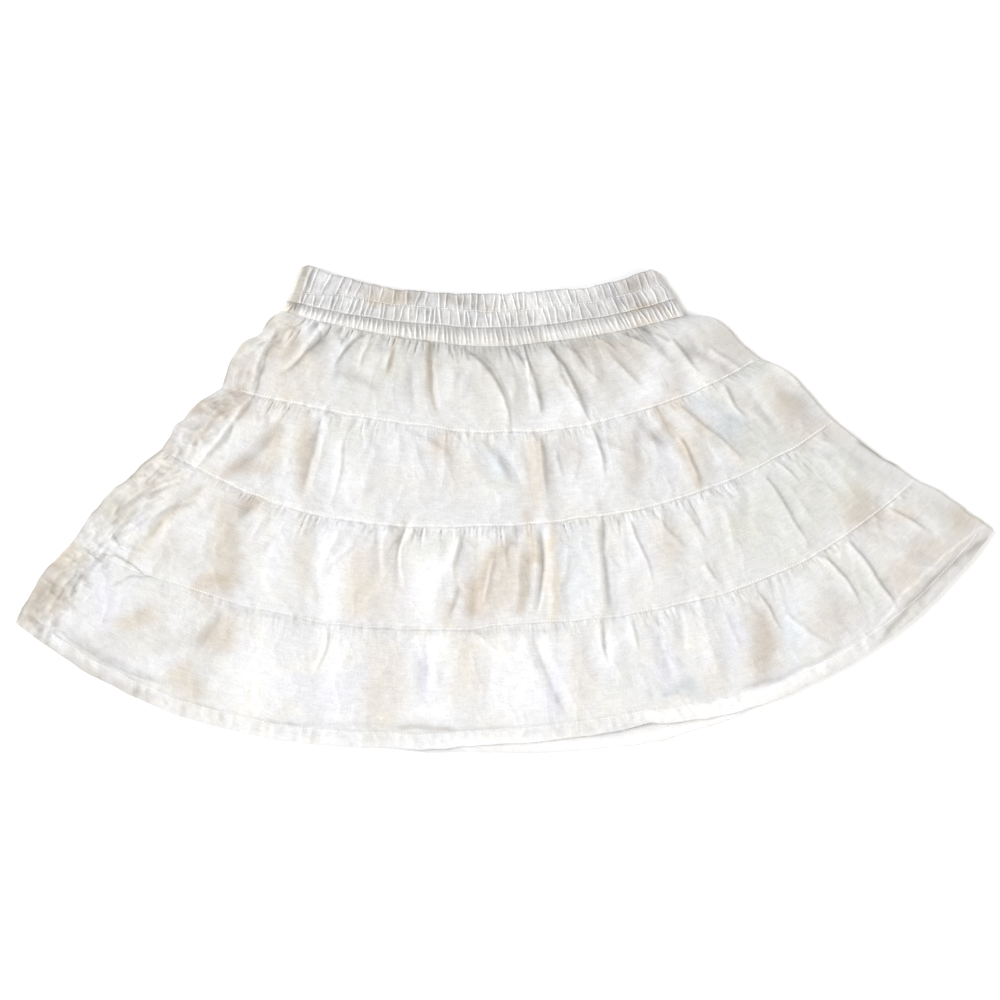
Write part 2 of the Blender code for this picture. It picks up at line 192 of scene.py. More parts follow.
# Painted light and shade of the cloth, partly also show-through where it lies thin: painted
# shade and shadow in creases, hollows and seams and on slopes turned from the key lamp,
# painted highlights on crests and washed-out edges, and warm and cool tints for light of each
# colour on the slopes it falls on. Strokes run as folds do: x0, y0, x1, y1, bend, share of
# the tint, left and right. Patches are x, y, reach in x, reach in y and share. Places and
# reaches are in millimetres.
LIGHT_AND_SHADE_TINTS = {
    "beige": (0.97, 0.925, 0.86), "brown": (0.875, 0.81, 0.73),
    "lavender": (0.95, 0.94, 1.00), "sage": (0.905, 0.92, 0.87),
    "grey": (0.86, 0.85, 0.825), "cool": (0.89, 0.93, 0.965),
    "painted_highlight": (1.12, 1.12, 1.14), "painted_strong_highlight": (1.22, 1.22, 1.23),
    "shadow": (0.74, 0.74, 0.75), "shade": (0.84, 0.81, 0.78),
    "tan": (0.82, 0.75, 0.67), "painted_deep_shade": (0.62, 0.59, 0.55),
}
PAINTED_LIGHT_STROKES = {
    "grey": (
        (-214, 168, -252, 112, -4, 0.6, 9, 9), (-322, 38, -384, -26, -4, 0.8, 9, 10),
        (-378, -58, -394, -90, 0, 0.9, 4, 5),
    ),
    "shade": (
        (-258, 96, -300, 62, -4, 0.8, 9, 12), (-398, -48, -432, -98, -3, 1, 8, 12),
        (-330, -28, -339, -50, 0, 0.8, 1.5, 4), (-306, 66, -298, 48, 0, 1, 7, 7),
        (-150, 122, -108, 103, 3, 0.6, 5, 6), (168, 139, 206, 118, 2, 0.8, 4, 4),
        (-430, -112, -310, -174, -6, 0.9, 7, 7), (436, -28, 342, -114, -7, 1, 3.5, 4),
    ),
    "brown": (
        (-246, 92, -280, 58, 0, 0.7, 8, 8), (-67, 148, -61, 86, -3, 0.8, 2, 2.5),
        (-96, 154, -106, 122, -1, 0.9, 2, 3), (132, 92, 174, 16, 5, 0.8, 6, 7),
        (20, 0, 28, -48, 0, 0.9, 6, 5), (-50, -84, -52, -108, 0, 0.8, 6, 8),
    ),
    "shadow": (
        (-406, -64, -424, -90, 0, 0.55, 5, 5), (-160, 160, -200, 120, 2, 0.9, 0.8, 1.1),
        (-124, 156, -151, 127, -3, 0.95, 1.5, 1.8), (-240, 78, -278, 34, 1, 0.25, 1, 1.5),
        (-276, 6, -316, -12, -3, 0.7, 2, 3), (-296, 20, -342, 0, -3, 0.7, 1.5, 2.5),
        (-350, -22, -343, -37, -1, 0.9, 1, 1.2), (-318, -60, -352, -70, -2, 0.8, 1, 1.3),
        (-362, -44, -388, -72, -2, 0.6, 3, 4), (-33, 138, -12, 128, 3, 0.7, 1.5, 2),
        (-8, 124, 5, 70, 4, 0.6, 1, 1.5), (6, 140, 20, 132, 0, 0.6, 2, 3),
        (24, 114, 34, 86, 1, 0.75, 1.5, 3), (42, 148, 50, 122, 1, 0.8, 1.5, 2),
        (58, 108, 76, 78, 1, 0.8, 1, 1.5), (-38, -34, -62, -98, -4, 0.35, 3, 6),
        (90, -12, 98, -102, 0, 0.45, 2, 5), (-240, -90, 60, -108, -9, 0.3, 5, 2),
        (-400, -104, -296, -158, -7, 0.55, 6, 4), (-428, -112, -330, -166, -6, 0.35, 6, 6),
        (-225, -191, -90, -197, 0, 0.35, 2, 3), (-46, -199, 4, -199, 0, 0.3, 2, 3),
        (214, -162, 310, -122, -4, 0.75, 2, 4), (436, -28, 342, -114, -7, 0.55, 2.5, 3),
    ),
    # painted deep shade in narrow creases, in gaps between layers and along the hem's stitch line
    "painted_deep_shade": (
        (-383, -57, -404, -84, 0, 0.6, 0.8, 0.9), (-212, 141, -225, 100, -1, 0.8, 1.1, 1.5),
        (-224, 101, -240, 80, 2, 0.45, 1.2, 1.6), (-322, 20, -308, 36, 0, 0.65, 0.8, 1),
        (-308, 36, -298, 34, 0, 0.5, 0.8, 1), (-322, 20, -304, 24, 0, 0.45, 0.8, 1),
        (-320, 29, -338, 27, 0, 0.6, 0.8, 1.2), (-364, -41, -350, -43, 0, 0.6, 1, 1.2),
        (-351, -42, -324, -58, 0, 0.7, 0.8, 1.1), (318, 58, 354, 39, -1, 1, 2, 3),
        (-44, 146, -41, 130, 0, 0.6, 1.5, 2), (-35, 146, -32, 133, 0, 0.7, 1.5, 2),
        (17, 146, 24, 118, 1, 0.6, 1, 1.5), (49, 121, 57, 110, 0, 0.7, 2, 3),
        (57, 146, 64, 139, 0, 0.6, 1.5, 2), (-403, -108, -310, -156, -6, 0.45, 1.2, 1.5),
        (-96, -196, -46, -199, 0, 0.6, 2, 3),
    ),
    # painted highlights along crests and along the hem
    "painted_highlight": (
        (-166, 162, -202, 124, 2, 0.5, 3, 1.5), (-119, 158, -133, 122, -2, 0.6, 1, 1.5),
        (-232, 95, -285, 27, 1, 0.8, 2, 1.5), (-230, -204, -60, -214, -2, 0.6, 5, 5),
        (230, -172, 330, -122, -4, 0.8, 5, 6),
    ),
    "beige": (
        (-180, 168, -212, 134, -2, 0.7, 6, 5), (-266, 20, -334, -48, -5, 1, 4, 5),
        (-334, 4, -344, -14, 0, 0.5, 3, 4), (146, 96, 216, 38, 2, 0.8, 5, 6),
        (22, 58, 30, -8, 3, 0.7, 5, 7), (-178, 84, -182, 12, 1, 0.7, 6, 5),
        (40, -20, 44, -100, 3, 0.9, 3, 5), (-128, -38, -134, -98, -6, 0.8, 12, 14),
    ),
    "tan": (
        (-2, -30, -30, -98, -5, 0.8, 8, 10), (22, -42, 14, -96, 3, 0.8, 9, 5),
    ),
    # painted washed-out light along the hem and the +X edge
    "painted_strong_highlight": (
        (-60, -212, 90, -212, -1, 0.9, 8, 8), (90, -212, 240, -172, -6, 0.9, 8, 8),
        (120, -188, 322, -114, -16, 0.85, 8, 7), (429, -18, 334, -108, -6, 0.95, 1.6, 1.4),
    ),
}
PAINTED_LIGHT_PATCHES = {
    # painted highlights where the cloth is most lit
    "painted_highlight": (
        (-156, 200, 18, 16, 1), (-28, 171, 26, 7, 0.8), (2, 157, 56, 9, 0.9),
        (-128, 130, 14, 16, 0.7), (-40, 112, 22, 20, 0.45), (48, 80, 32, 9, 0.85),
        (130, 120, 20, 19, 0.75), (122, 98, 22, 10, 0.75), (6, 104, 8, 16, 0.7),
        (30, 122, 8, 14, 0.7), (172, 118, 15, 14, 1), (152, 153, 12, 12, 0.5),
        (-216, 78, 16, 10, 0.6), (-146, 34, 14, 24, 0.55), (-104, 30, 34, 20, 0.4),
        (-14, 14, 12, 10, 0.4), (70, 30, 17, 30, 0.9), (178, 78, 9, 9, 0.7), (204, 46, 16, 8, 0.8),
        (0, -62, 150, 44, 0.4), (-214, -44, 13, 38, 0.65), (-155, -58, 12, 44, 0.85),
        (-70, -70, 17, 30, 0.75), (-44, -46, 8, 14, 0.9), (-22, -76, 4, 16, 0.8),
        (106, -44, 14, 40, 0.4), (172, -18, 12, 16, 0.4), (-10, -156, 190, 50, 0.45),
        (-222, -148, 34, 38, 0.95), (-150, -128, 30, 20, 0.45), (-66, -124, 16, 12, 0.95),
        (-66, -182, 22, 12, 0.9), (8, -126, 30, 16, 0.9), (10, -166, 26, 24, 0.7),
        (90, -120, 9, 24, 0.8), (118, -112, 12, 14, 0.7), (168, -122, 18, 20, 0.35),
        (258, -112, 13, 28, 0.6),
    ),
    "shade": (
        (-181, 212, 6, 7, 0.8), (-89, 192, 13, 8, 1), (-44, 186, 18, 7, 1), (110, 203, 12, 8, 0.9),
        (124, 206, 12, 9, 1), (116, 188, 14, 8, 0.6), (-432, -105, 11, 7, 1), (56, 56, 13, 18, 0.8),
        (142, 68, 18, 9, 0.9), (-358, -126, 26, 13, 0.65),
    ),
    # painted washed-out light on the waistband and at the +X edge
    "painted_strong_highlight": (
        (160, 183, 8, 9, 0.9), (14, 186, 26, 12, 0.75), (254, 118, 16, 10, 1),
    ),
    "brown": (
        (-110, 193, 18, 9, 1), (128, 176, 26, 6, 1), (-240, 124, 18, 26, 0.6),
        (-392, -42, 16, 22, 0.9), (-414, -80, 20, 26, 1), (-192, 146, 10, 18, 0.6),
        (88, 138, 34, 14, 0.6), (124, 160, 22, 8, 0.6), (-206, 60, 13, 14, 0.9),
        (-176, 46, 9, 38, 0.75), (-58, 54, 14, 14, 0.85), (24, 36, 11, 34, 0.75),
        (114, 44, 11, 28, 0.55), (258, 90, 18, 20, 0.9), (-252, -35, 16, 46, 0.95),
        (-96, -36, 8, 18, 0.4), (-26, -76, 20, 24, 0.85), (4, -64, 18, 36, 0.85),
        (42, -52, 8, 46, 0.7), (318, -2, 18, 14, 0.85), (-332, -102, 26, 12, 0.95),
        (-258, -114, 23, 15, 1), (-286, -156, 13, 22, 1), (230, -120, 14, 30, 1),
        (296, -96, 18, 18, 0.55), (360, -58, 24, 24, 0.75), (348, -14, 24, 12, 0.75),
        (412, -14, 20, 18, 1), (396, -38, 30, 8, 0.6),
    ),
    "beige": (
        (-14, 184, 9, 7, 0.7), (-206, 166, 14, 12, 0.6), (-318, 34, 26, 24, 0.75),
        (-188, 116, 26, 34, 0.75), (-67, 122, 6, 30, 0.6), (80, 108, 26, 18, 0.35),
        (198, 152, 26, 14, 0.7), (-96, 22, 30, 16, 0.4), (-40, 30, 10, 24, 0.7),
        (150, 96, 10, 20, 0.9), (178, 52, 14, 18, 0.85), (218, 92, 10, 16, 0.6),
        (284, 66, 30, 10, 0.75), (-296, -8, 20, 14, 0.3), (-306, -34, 14, 14, 0.6),
        (-180, -42, 11, 34, 0.8), (-116, -66, 25, 40, 0.8), (146, -32, 12, 28, 0.9),
        (-108, -162, 18, 40, 1), (-112, -128, 20, 16, 0.2), (-32, -140, 14, 36, 0.85),
        (70, -148, 10, 36, 0.6), (192, -150, 12, 14, 0.7),
    ),
    "shadow": (
        (95, 190, 11, 10, 1), (130, 145, 16, 8, 0.8), (166, 138, 10, 8, 0.75),
    ),
    "tan": (
        (-280, 86, 17, 11, 0.95), (-238, 90, 18, 15, 0.9), (-234, 38, 33, 11, 0.95),
        (-266, -70, 20, 13, 0.85), (-224, -2, 17, 11, 1),
    ),
    "grey": (
        (-352, 5, 16, 18, 1), (-170, 142, 10, 12, 0.6), (-10, 132, 240, 34, 0.45),
        (0, 150, 220, 9, 0.55), (0, 128, 90, 20, 0.25), (240, 74, 66, 44, 0.35),
        (92, 60, 12, 10, 0.4), (-286, -42, 20, 16, 0.8), (-300, -118, 20, 9, 0.8),
        (158, -164, 24, 7, 0.5),
    ),
    "cool": (
        (-146, 122, 12, 18, 0.4), (-8, 44, 13, 18, 0.8), (184, 92, 16, 12, 0.95),
        (204, 66, 18, 14, 0.95), (64, -48, 13, 40, 0.5), (158, -164, 24, 8, 1),
        (258, -112, 13, 28, 0.7),
    ),
    "sage": (
        (-104, 122, 14, 20, 0.5), (232, 132, 20, 14, 0.6), (-120, 76, 40, 10, 0.1),
        (236, 64, 22, 14, 0.8), (-62, -36, 12, 12, 0.6), (232, -10, 40, 40, 0.5),
        (290, 20, 46, 30, 0.75), (104, -150, 14, 18, 0.5), (322, -78, 14, 20, 0.6),
    ),
    "lavender": (
        (150, 36, 12, 20, 0.6), (-330, -8, 12, 18, 0.8), (128, -36, 8, 22, 0.6),
        (-360, -88, 15, 32, 0.8), (-304, -138, 28, 9, 0.6), (-170, -160, 40, 18, 0.5),
        (-70, -150, 8, 22, 0.9), (46, -160, 9, 32, 1), (142, -130, 9, 30, 0.9),
        (206, -116, 7, 28, 0.8),
    ),
}


# --- Shares, bumps and noise ---
def mix(first, second, share):
    return first + (second - first) * share


def ease(share):
    """Smooth step from 0 to 1, held at its ends."""
    held = np.clip(share, 0.0, 1.0)
    return held * held * (3.0 - 2.0 * held)


def from_low(low, share):
    """Smooth step from a low value to 1."""
    return mix(low, 1.0, ease(share))


def fade(distance, reach):
    """Smooth step from 1, at no distance, to 0 at the reach."""
    return 1.0 - ease(distance / reach)


def bell(distance, reach):
    """Rounded bump, 1 high, that is nearly gone at twice its reach."""
    return np.exp(-(distance / reach) ** 2)


def arch(share):
    """0 at both ends and 1 in the middle."""
    return np.sin(np.pi * np.clip(share, 0.0, 1.0))


def from_sides(t):
    """Share of the width to the nearer fold."""
    return np.minimum(t, 1.0 - t)


def soft_noise(x, y, seed):
    """Smooth noise from -1 to 1 with bumps one unit apart."""
    values = np.random.RandomState(seed).uniform(-1.0, 1.0, (128, 128))
    column, row = np.floor(x).astype(int), np.floor(y).astype(int)
    across, down = ease(x - column), ease(y - row)

    def corner(i, j):
        return values[(column + i) % 128, (row + j) % 128]

    return mix(mix(corner(0, 0), corner(1, 0), across),
               mix(corner(0, 1), corner(1, 1), across), down)


def line_noise(place, pitch, seed, row=0.0):
    """Noise along one direction."""
    return soft_noise(place / pitch, place * 0.0 + row, seed)


def turned_noise(x, y, size, angle, seed):
    """Noise with bumps of a given size in metres, on axes turned by an angle."""
    cosine, sine = math.cos(angle), math.sin(angle)
    return soft_noise((x * cosine + y * sine) / size + 31.7,
                      (y * cosine - x * sine) / size + 57.3, seed)


def cracked(noise, sharpness):
    """Sharp narrow ridges where the noise passes 0."""
    return (1.0 - np.abs(noise)) ** sharpness


# --- Places on the garment: t runs from the -X fold to the +X fold, v down a band ---
def span(level):
    return level.right_x - level.left_x


def level_place(level, t):
    """X and Y of a level line."""
    left = np.clip((level.low - t) / level.low, 0.0, None) ** level.left_bow
    right = np.clip((t - level.low) / (1.0 - level.low), 0.0, None) ** level.right_bow
    x = mix(level.left_x, level.right_x, t)
    y = mix(level.left_y, level.right_y, t) - level.sag * (1.0 - left - right)
    y -= level.hang * fade(np.abs(t - HANG_AT), np.where(t < HANG_AT, HANG_LEFT, HANG_RIGHT))
    row = level.seed * 3.1
    waves = line_noise(x, 0.034, level.seed, row) + 0.5 * line_noise(x, 0.013, 40, row)
    y = y + level.wander * waves * ease(from_sides(t) / 0.06)
    if level is TOP_EDGE:
        y = y - CORNER_DROP * fade(from_sides(t) * span(level), CORNER_REACH) ** 2
        y = y + SCALLOP * line_noise(x, 0.0055, 41, row)
    return x, y


def band_place(band, lower, t, v):
    """X and Y on a band, with its sides puffed and crumpled."""
    upper_x, upper_y = level_place(band.upper, t)
    lower_x, lower_y = level_place(lower, t)
    x, y = mix(upper_x, lower_x, v), mix(upper_y, lower_y, v)
    if lower is FRONT_HEM:
        y = y + HEM_LIFT * v ** 3 * bell(t - HEM_LIFT_AT, HEM_LIFT_REACH)
    for side, puff, lean, wobble in ((-1, band.left_puff, LEFT_LEAN, 0.0020),
                                     (1, band.right_puff, RIGHT_LEAN, 0.0013)):
        (top_x, top_y), (foot_x, foot_y) = (
            [float(value[0]) for value in level_place(level, np.array([0.5 + 0.5 * side]))]
            for level in (band.upper, lower))
        drop, run = top_y - foot_y, foot_x - top_x
        length = math.hypot(drop, run)
        swell = np.sin(np.pi * v) + lean * np.sin(2.0 * np.pi * v)
        uneven = soft_noise(v * length / 0.011 + 5.0, v * 0.0 + band.seed, 50 + side)
        out = puff * swell + wobble * uneven * np.sin(np.pi * v)
        if side < 0 and band is TIER_1:
            out = out - DENT_DEPTH * bell(v - DENT_AT, DENT_REACH)
        out = out * fade(t if side < 0 else 1.0 - t, PUFF_REACH)
        x = x + out * side * drop / length
        y = y + out * side * run / length
    return x, y


def width_at(band, v):
    return mix(span(band.upper), span(band.front_lower), v)


def seam_turn(band, v):
    """Distance from the fold to the side seam that has turned past it."""
    return mix(band.upper.turn, band.front_lower.turn, v)


def wrapped_end(band, t, v):
    """Distance in from the side seam that lies on top near the -X fold."""
    return t * width_at(band, v) - seam_turn(band, v)


def depth_of(band):
    """Depth of a band's front at its middle."""
    top, foot = (level_place(level, np.array([0.5]))[1][0]
                 for level in (band.upper, band.front_lower))
    return float(top - foot)


# --- Heights of the tiers ---
def beside(line, x, y):
    """Share of the way along a line, and flank: 1 where its left or right reach ends."""
    x0, y0, x1, y1 = (value * MM for value in line[:4])
    run_x, run_y = x1 - x0, y1 - y0
    length = math.hypot(run_x, run_y)
    along = ((x - x0) * run_x + (y - y0) * run_y) / length ** 2
    side = ((y - y0) * run_x - (x - x0) * run_y) / length
    held = np.clip(along, 0.0, 1.0)
    side = side - line.bend * MM * 4.0 * held * (1.0 - held)
    flank = np.where(side < 0.0, -side / (line.left * MM), side / (line.right * MM))
    return along, flank


def billow_height(fold, x, y):
    """Height of one broad soft fold."""
    along, flank = beside(fold, x, y)
    ends = ease((along + 0.20) / 0.35) * ease((1.20 - along) / 0.40)
    return fold.weight * MM * fade(flank, 1.0) * ends


def crease_height(fold, x, y):
    """Height of one sharper fold, with a narrow crest and a long taper."""
    along, flank = beside(fold, x, y)
    ends = ease((along + 0.05) / 0.14) * ease((1.10 - along) / 0.50)
    crest = np.clip(1.0 + CREST - np.sqrt(flank ** 2 + CREST ** 2), 0.0, 1.0) ** 1.5
    return fold.weight * MM * crest * ends


def calmed(band, low, t):
    """Share of the small relief that tier 4 keeps towards its -X side."""
    return from_low(low, (t - CALM_UNTIL) / 0.1) if band is TIER_4 else 1.0


def stray_creases(band, seed):
    """Small soft creases between the main ones, running down the cloth."""
    draw = np.random.RandomState(seed)
    made = []
    for step in range(STRAY_COUNT):
        start_t = (step + draw.uniform(0.15, 0.85)) / STRAY_COUNT
        start_v = draw.uniform(-0.05, 0.35)
        reach = draw.uniform(0.25, 0.75)
        drift = draw.normal(0.0, 0.018)
        ends = np.array([start_t, min(max(start_t + drift, 0.0), 1.0)])
        downs = np.array([max(start_v, 0.0), min(start_v + reach, 1.0)])
        x, y = band_place(band, band.front_lower, ends, downs)
        height = draw.uniform(0.6, 1.8) * (1.0 if draw.uniform() < 0.6 else -1.0)
        made.append(Line(x[0] / MM, y[0] / MM, x[1] / MM, y[1] / MM,
                         draw.normal(0.0, 1.5), height * calmed(band, 0.3, start_t),
                         draw.uniform(6.0, 14.0), draw.uniform(3.0, 9.0)))
    return made


FOLDS = tuple(Line(*row) for row in BILLOWS)
SHARP_FOLDS = {band.name: [Line(*row) for row in CREASES]
               + stray_creases(band, band.seed + 70) for band in TIERS}


def gathers(band, t, v):
    """Gathers under a band's upper seam: fine at the seam, merging into wider folds."""
    across, down, seed = t * span(band.upper), v * depth_of(band), band.seed
    sway = across + 0.0018 * soft_noise(across / 0.019, down / 0.026, seed + 1)
    sway = sway + 0.0004 * soft_noise(across / 0.006, down / 0.010, seed + 2)
    fine = soft_noise(sway / 0.0024, down / 0.013, seed + 3)
    cracks = cracked(soft_noise(sway / 0.0050, down / 0.030, seed + 4), 6)
    middle = soft_noise(sway / 0.0072, down / 0.045, seed + 5)
    wide = soft_noise(sway / 0.0160, down / 0.050, seed + 6)
    patchy = np.clip(0.5 + 0.8 * line_noise(across, 0.026, seed + 8), 0.0, 1.0)
    reach = (0.010 + 0.006 * line_noise(across, 0.011, seed + 7)) * (0.6 + 0.9 * patchy)
    near, mid, far = (fade(down, reach * share) for share in (0.8, 1.8, 4.5))
    open_up = from_low(0.35, down / 0.003) * calmed(band, 0.5, t)
    if band is TIER_1:
        open_up = open_up * mix(1.0, 0.4, ease((t - 0.60) / 0.1))
    return band.gather * open_up * (
        (0.25 + 0.30 * patchy) * fine * near
        + (0.45 + 0.55 * patchy) * (0.30 - 1.10 * cracks) * mid
        + (0.25 + 0.50 * patchy) * middle * mid + 0.45 * wide * far)


def crumple(x, y):
    """Creases of washed linen, from broad to fine."""
    bend_x = x + 0.007 * turned_noise(x, y, 0.022, 0.4, 80)
    bend_y = y + 0.007 * turned_noise(x, y, 0.022, 1.1, 81)
    return (0.00080 * turned_noise(bend_x, bend_y, 0.030, 0.7, 82)
            + 0.00050 * cracked(turned_noise(bend_x, bend_y, 0.024, 1.9, 83), 4)
            + 0.00045 * turned_noise(bend_x, bend_y, 0.011, 0.2, 85)
            + 0.00040 * cracked(turned_noise(bend_x, bend_y, 0.012, 0.5, 86), 5)
            + 0.00022 * turned_noise(bend_x * 0.6, bend_y, 0.0046, 0.1, 84))


def seam_relief(band, x, v, depth):
    """Double cloth above the lower seam, flush with the bulk under the upper one."""
    to_foot = (1.0 - v) * depth
    relief = 0.0003 * fade(v * depth, 0.004)
    if band is TIER_4:
        return relief
    groove, step = 0.00015, SEAM_STEP
    if band is TIER_3:
        groove = groove + 0.0003 * ease((x + 0.25) / 0.03) * ease((0.27 - x) / 0.06)
        step = step * from_low(0.3, (x + 0.36) / 0.06)
    relief = relief + step * fade(to_foot - ALLOWANCE, 0.0020)
    return relief - 0.00020 * bell(to_foot - SEAM_ROW, 0.0007) - groove * bell(to_foot, 0.0008)


def side_seam(band, t, v):
    """Bulk and cross puckers of the side seam that lies on top near the -X fold."""
    side, inward = t * width_at(band, v), wrapped_end(band, t, v)
    down = v * depth_of(band)
    slant = side + 0.4 * down
    uneven = 0.6 + 0.6 * soft_noise(down / 0.009, side * 0.0 + band.seed, 32)
    bulk = 0.0008 * bell(inward, 0.0018) - 0.0005 * bell(inward - 0.0036, 0.0016)
    lumps = soft_noise(down / 0.0100 - side / 0.04, side / 0.014, band.seed + 31)
    across = soft_noise(down / 0.0064 + side / 0.03, slant / 0.011, band.seed + 30)
    creased = cracked(soft_noise(down / 0.0080, slant / 0.010, band.seed + 33), 4)
    crossed = cracked(soft_noise(slant / 0.0065, down / 0.013, band.seed + 34), 5)
    strip = fade(inward - 0.004, 0.016) * (0.55 if band is TIER_1 else 0.85)
    strip = strip * (0.3 + 0.7 * arch(v) ** 0.5)
    return bulk * uneven + strip * (0.0010 * lumps + 0.0008 * across
                                    + 0.0024 * creased + 0.0016 * crossed - 0.0008)


def foot_puckers(t, from_foot, band):
    """Faint pull of the gathers below on a tier's lower edge."""
    return (line_noise(t * span(band.front_lower), 0.0042, band.seed + 9, 3.0)
            * fade(from_foot, 0.007))


def hem_relief(t, from_foot):
    """Turned-up hem: a thicker, rippled strip under its stitch line."""
    across = t * span(FRONT_HEM)
    inside = fade(from_foot - HEM_DEPTH, 0.0010)
    ripple = soft_noise(across / 0.0085, from_foot / 0.02, 91)
    ripple = ripple + 0.6 * soft_noise(across / 0.0042, from_foot / 0.012, 92)
    belly = arch(from_foot / HEM_DEPTH) ** 0.7 * mix(2.0, 1.0, ease(t / 0.22))
    stitch = bell(from_foot - HEM_DEPTH - 0.0002, 0.0011)
    return (0.0008 * inside + 0.0009 * inside * belly * ripple
            - 0.00075 * stitch - 0.0002 * bell(from_foot, 0.0010))


def tier_rise(band, x, y, t, v):
    """Height of a tier's front above where it would lie flat on the back."""
    depth = depth_of(band)
    from_top, from_foot = v * depth, (1.0 - v) * depth
    wander_x = x + 0.0018 * turned_noise(x, y, 0.026, 0.3, 71)
    wander_x = wander_x + 0.0006 * turned_noise(x, y, 0.008, 0.9, 72)
    wander_y = y + 0.0018 * turned_noise(x, y, 0.026, 1.2, 73)
    creases = CREASE_SHARE * sum(crease_height(fold, wander_x, wander_y)
                                 for fold in SHARP_FOLDS[band.name])
    billows = BILLOW_SHARE * sum(billow_height(fold, wander_x, wander_y) for fold in FOLDS)
    creases = creases * from_low(0.35, from_top / 0.014)
    billows = billows * from_low(0.70, from_top / 0.020)
    swell = np.sin(np.pi * v) ** 0.6
    lift = 0.0012
    if band is TIER_4:
        swell = np.maximum(swell, 0.55 * ease(v / 0.5)) * ease(from_foot / 0.030)
        folds = (creases + billows) * from_low(0.35, from_foot / 0.030)
        lift = 0.0012 * ease(from_foot / 0.018) + 0.0001
        foot = hem_relief(t, from_foot)
    else:
        folds = (creases * from_low(0.40, from_foot / 0.018)
                 + billows * from_low(0.70, from_foot / 0.022))
        foot = 0.35 * band.gather * foot_puckers(t, from_foot, band)
    if band is TIER_1:
        lift = lift + 0.0010 * fade(from_top, 0.014)
    rise = lift + band.loft * swell + folds + gathers(band, t, v) + crumple(x, y) + foot
    rise = rise + seam_relief(band, x, v, depth) + side_seam(band, t, v)
    low = 0.0004
    return low + 0.5 * (rise - low + np.sqrt((rise - low) ** 2 + 0.0009 ** 2))


# --- Gathers of the elastic casing and of the shirred strip ---
def gather_lines(low_gap, high_gap, slant, seed):
    """Places, slants, heights and sizes of the pleats along one stitched row."""
    draw = np.random.RandomState(seed)
    lines = []
    place = draw.uniform(0.0, low_gap)
    while place < ROW_LENGTH:
        lines.append((place, draw.normal(0.0, slant), draw.uniform(0.55, 1.0),
                      draw.uniform(0.75, 1.3)))
        place += draw.uniform(low_gap, high_gap)
    return lines


UPPER_ROW = gather_lines(0.0036, 0.0135, 0.0018, 21)
LOWER_ROW = gather_lines(0.0034, 0.0095, 0.0018, 22)
SHIRRED_ROW = gather_lines(0.0028, 0.0056, 0.0010, 23)
BACK_CASING_ROW = gather_lines(0.0045, 0.0135, 0.0018, 24)
BACK_SHIRRED_ROW = gather_lines(0.0034, 0.0054, 0.0008, 26)


def pleated_row(across, down, lines, sharpness, seed):
    """Pleats 0 to 1 high in one row; down runs from 0 to 1 between its stitch lines."""
    total = np.zeros_like(across)
    for place, slant, height, size in lines:
        wobble = 0.0004 * math.sin(seed + place * 900.0)
        offset = across - place - slant * (down - 0.5) - wobble * np.sin(np.pi * 2.0 * down)
        total = np.maximum(total, height * bell(offset, sharpness * size))
    return total


def row_share(t):
    """Share of the casing's depth above the stitching between its two rows."""
    return 0.48 + 0.28 * fade(t, 0.15) + 0.06 * bell(t - 0.57, 0.08)


def casing_rise(t, v):
    """Pleats of the elastic casing's two rows."""
    across = t * 0.34
    split = row_share(t)
    down = np.where(v < split, v / split, (v - split) / (1.0 - split))
    held = np.clip(down, 0.0, 1.0)
    pleats = np.where(v < split, pleated_row(across, held, UPPER_ROW, 0.00062, 1.0),
                      pleated_row(across, held, LOWER_ROW, 0.00062, 2.0))
    belly = 1.0 - (np.abs(down - 0.5) * 2.0) ** 4
    cells = soft_noise(across / 0.0062, v * 5.0, 27)
    fine = soft_noise(across / 0.0019, v * 8.0, 28)
    ripple = soft_noise(across / 0.0045, v * 0.0 + 9.0, 29) * bell(v, 0.12)
    front = (0.0006 * belly * (1.0 + 0.8 * cells) + 0.0015 * pleats * (0.40 + 0.60 * belly)
             + 0.00028 * fine - 0.0004 * bell(v - split, 0.022) + 0.0005 * ripple)
    ridges = cracked(np.sin(np.pi * (v * 2.6 + 0.12)), 4)
    seam = wrapped_end(WAISTBAND, t, v) / 0.0012
    side = mix(0.0006 * belly + 0.0012 * ridges, front, ease(0.5 + 0.5 * seam))
    return side + 0.0012 * bell(seam, 1.0)


def shirring_rise(t, v):
    """Fine tight gathers of the shirred strip, fullest towards its foot."""
    across = t * 0.355
    uneven = 0.65 + 0.5 * soft_noise(across / 0.011, v * 2.0, 31)
    pleats = uneven * pleated_row(across, v, SHIRRED_ROW, 0.00085, 3.0)
    belly = np.sin(np.pi * np.clip(v, 0.0, 1.0) ** 1.25) ** 0.6
    fine = soft_noise(across / 0.0016, v * 9.0, 30)
    return (0.0004 + 0.0016 * belly + 0.0019 * pleats * (0.30 + 0.70 * belly)
            + 0.00014 * fine)


# Shells: a flattened ring, its front from the -X side seam over the top and under
# the +X fold, its back from there underneath and up over the -X fold.
def front_height(band, x, y, t, v):
    """Height of the layer that shows, coming down towards its folds at the sides."""
    settle = SETTLE_CASING
    if band is WAISTBAND:
        rise = casing_rise(t, v)
    elif band is SHIRRING:
        rise = shirring_rise(t, v)
    else:
        rise = tier_rise(band, x, y, t, v)
        settle = np.where(t < 0.5, SETTLE_LEFT, SETTLE_RIGHT)
    side = from_sides(t) * width_at(band, v)
    z = 2.0 * band.half + rise * ease(side / settle + 0.12)
    if band is TIER_4:
        z = z - DROOP * bell((1.0 - v) * depth_of(band), 0.004)
    return z


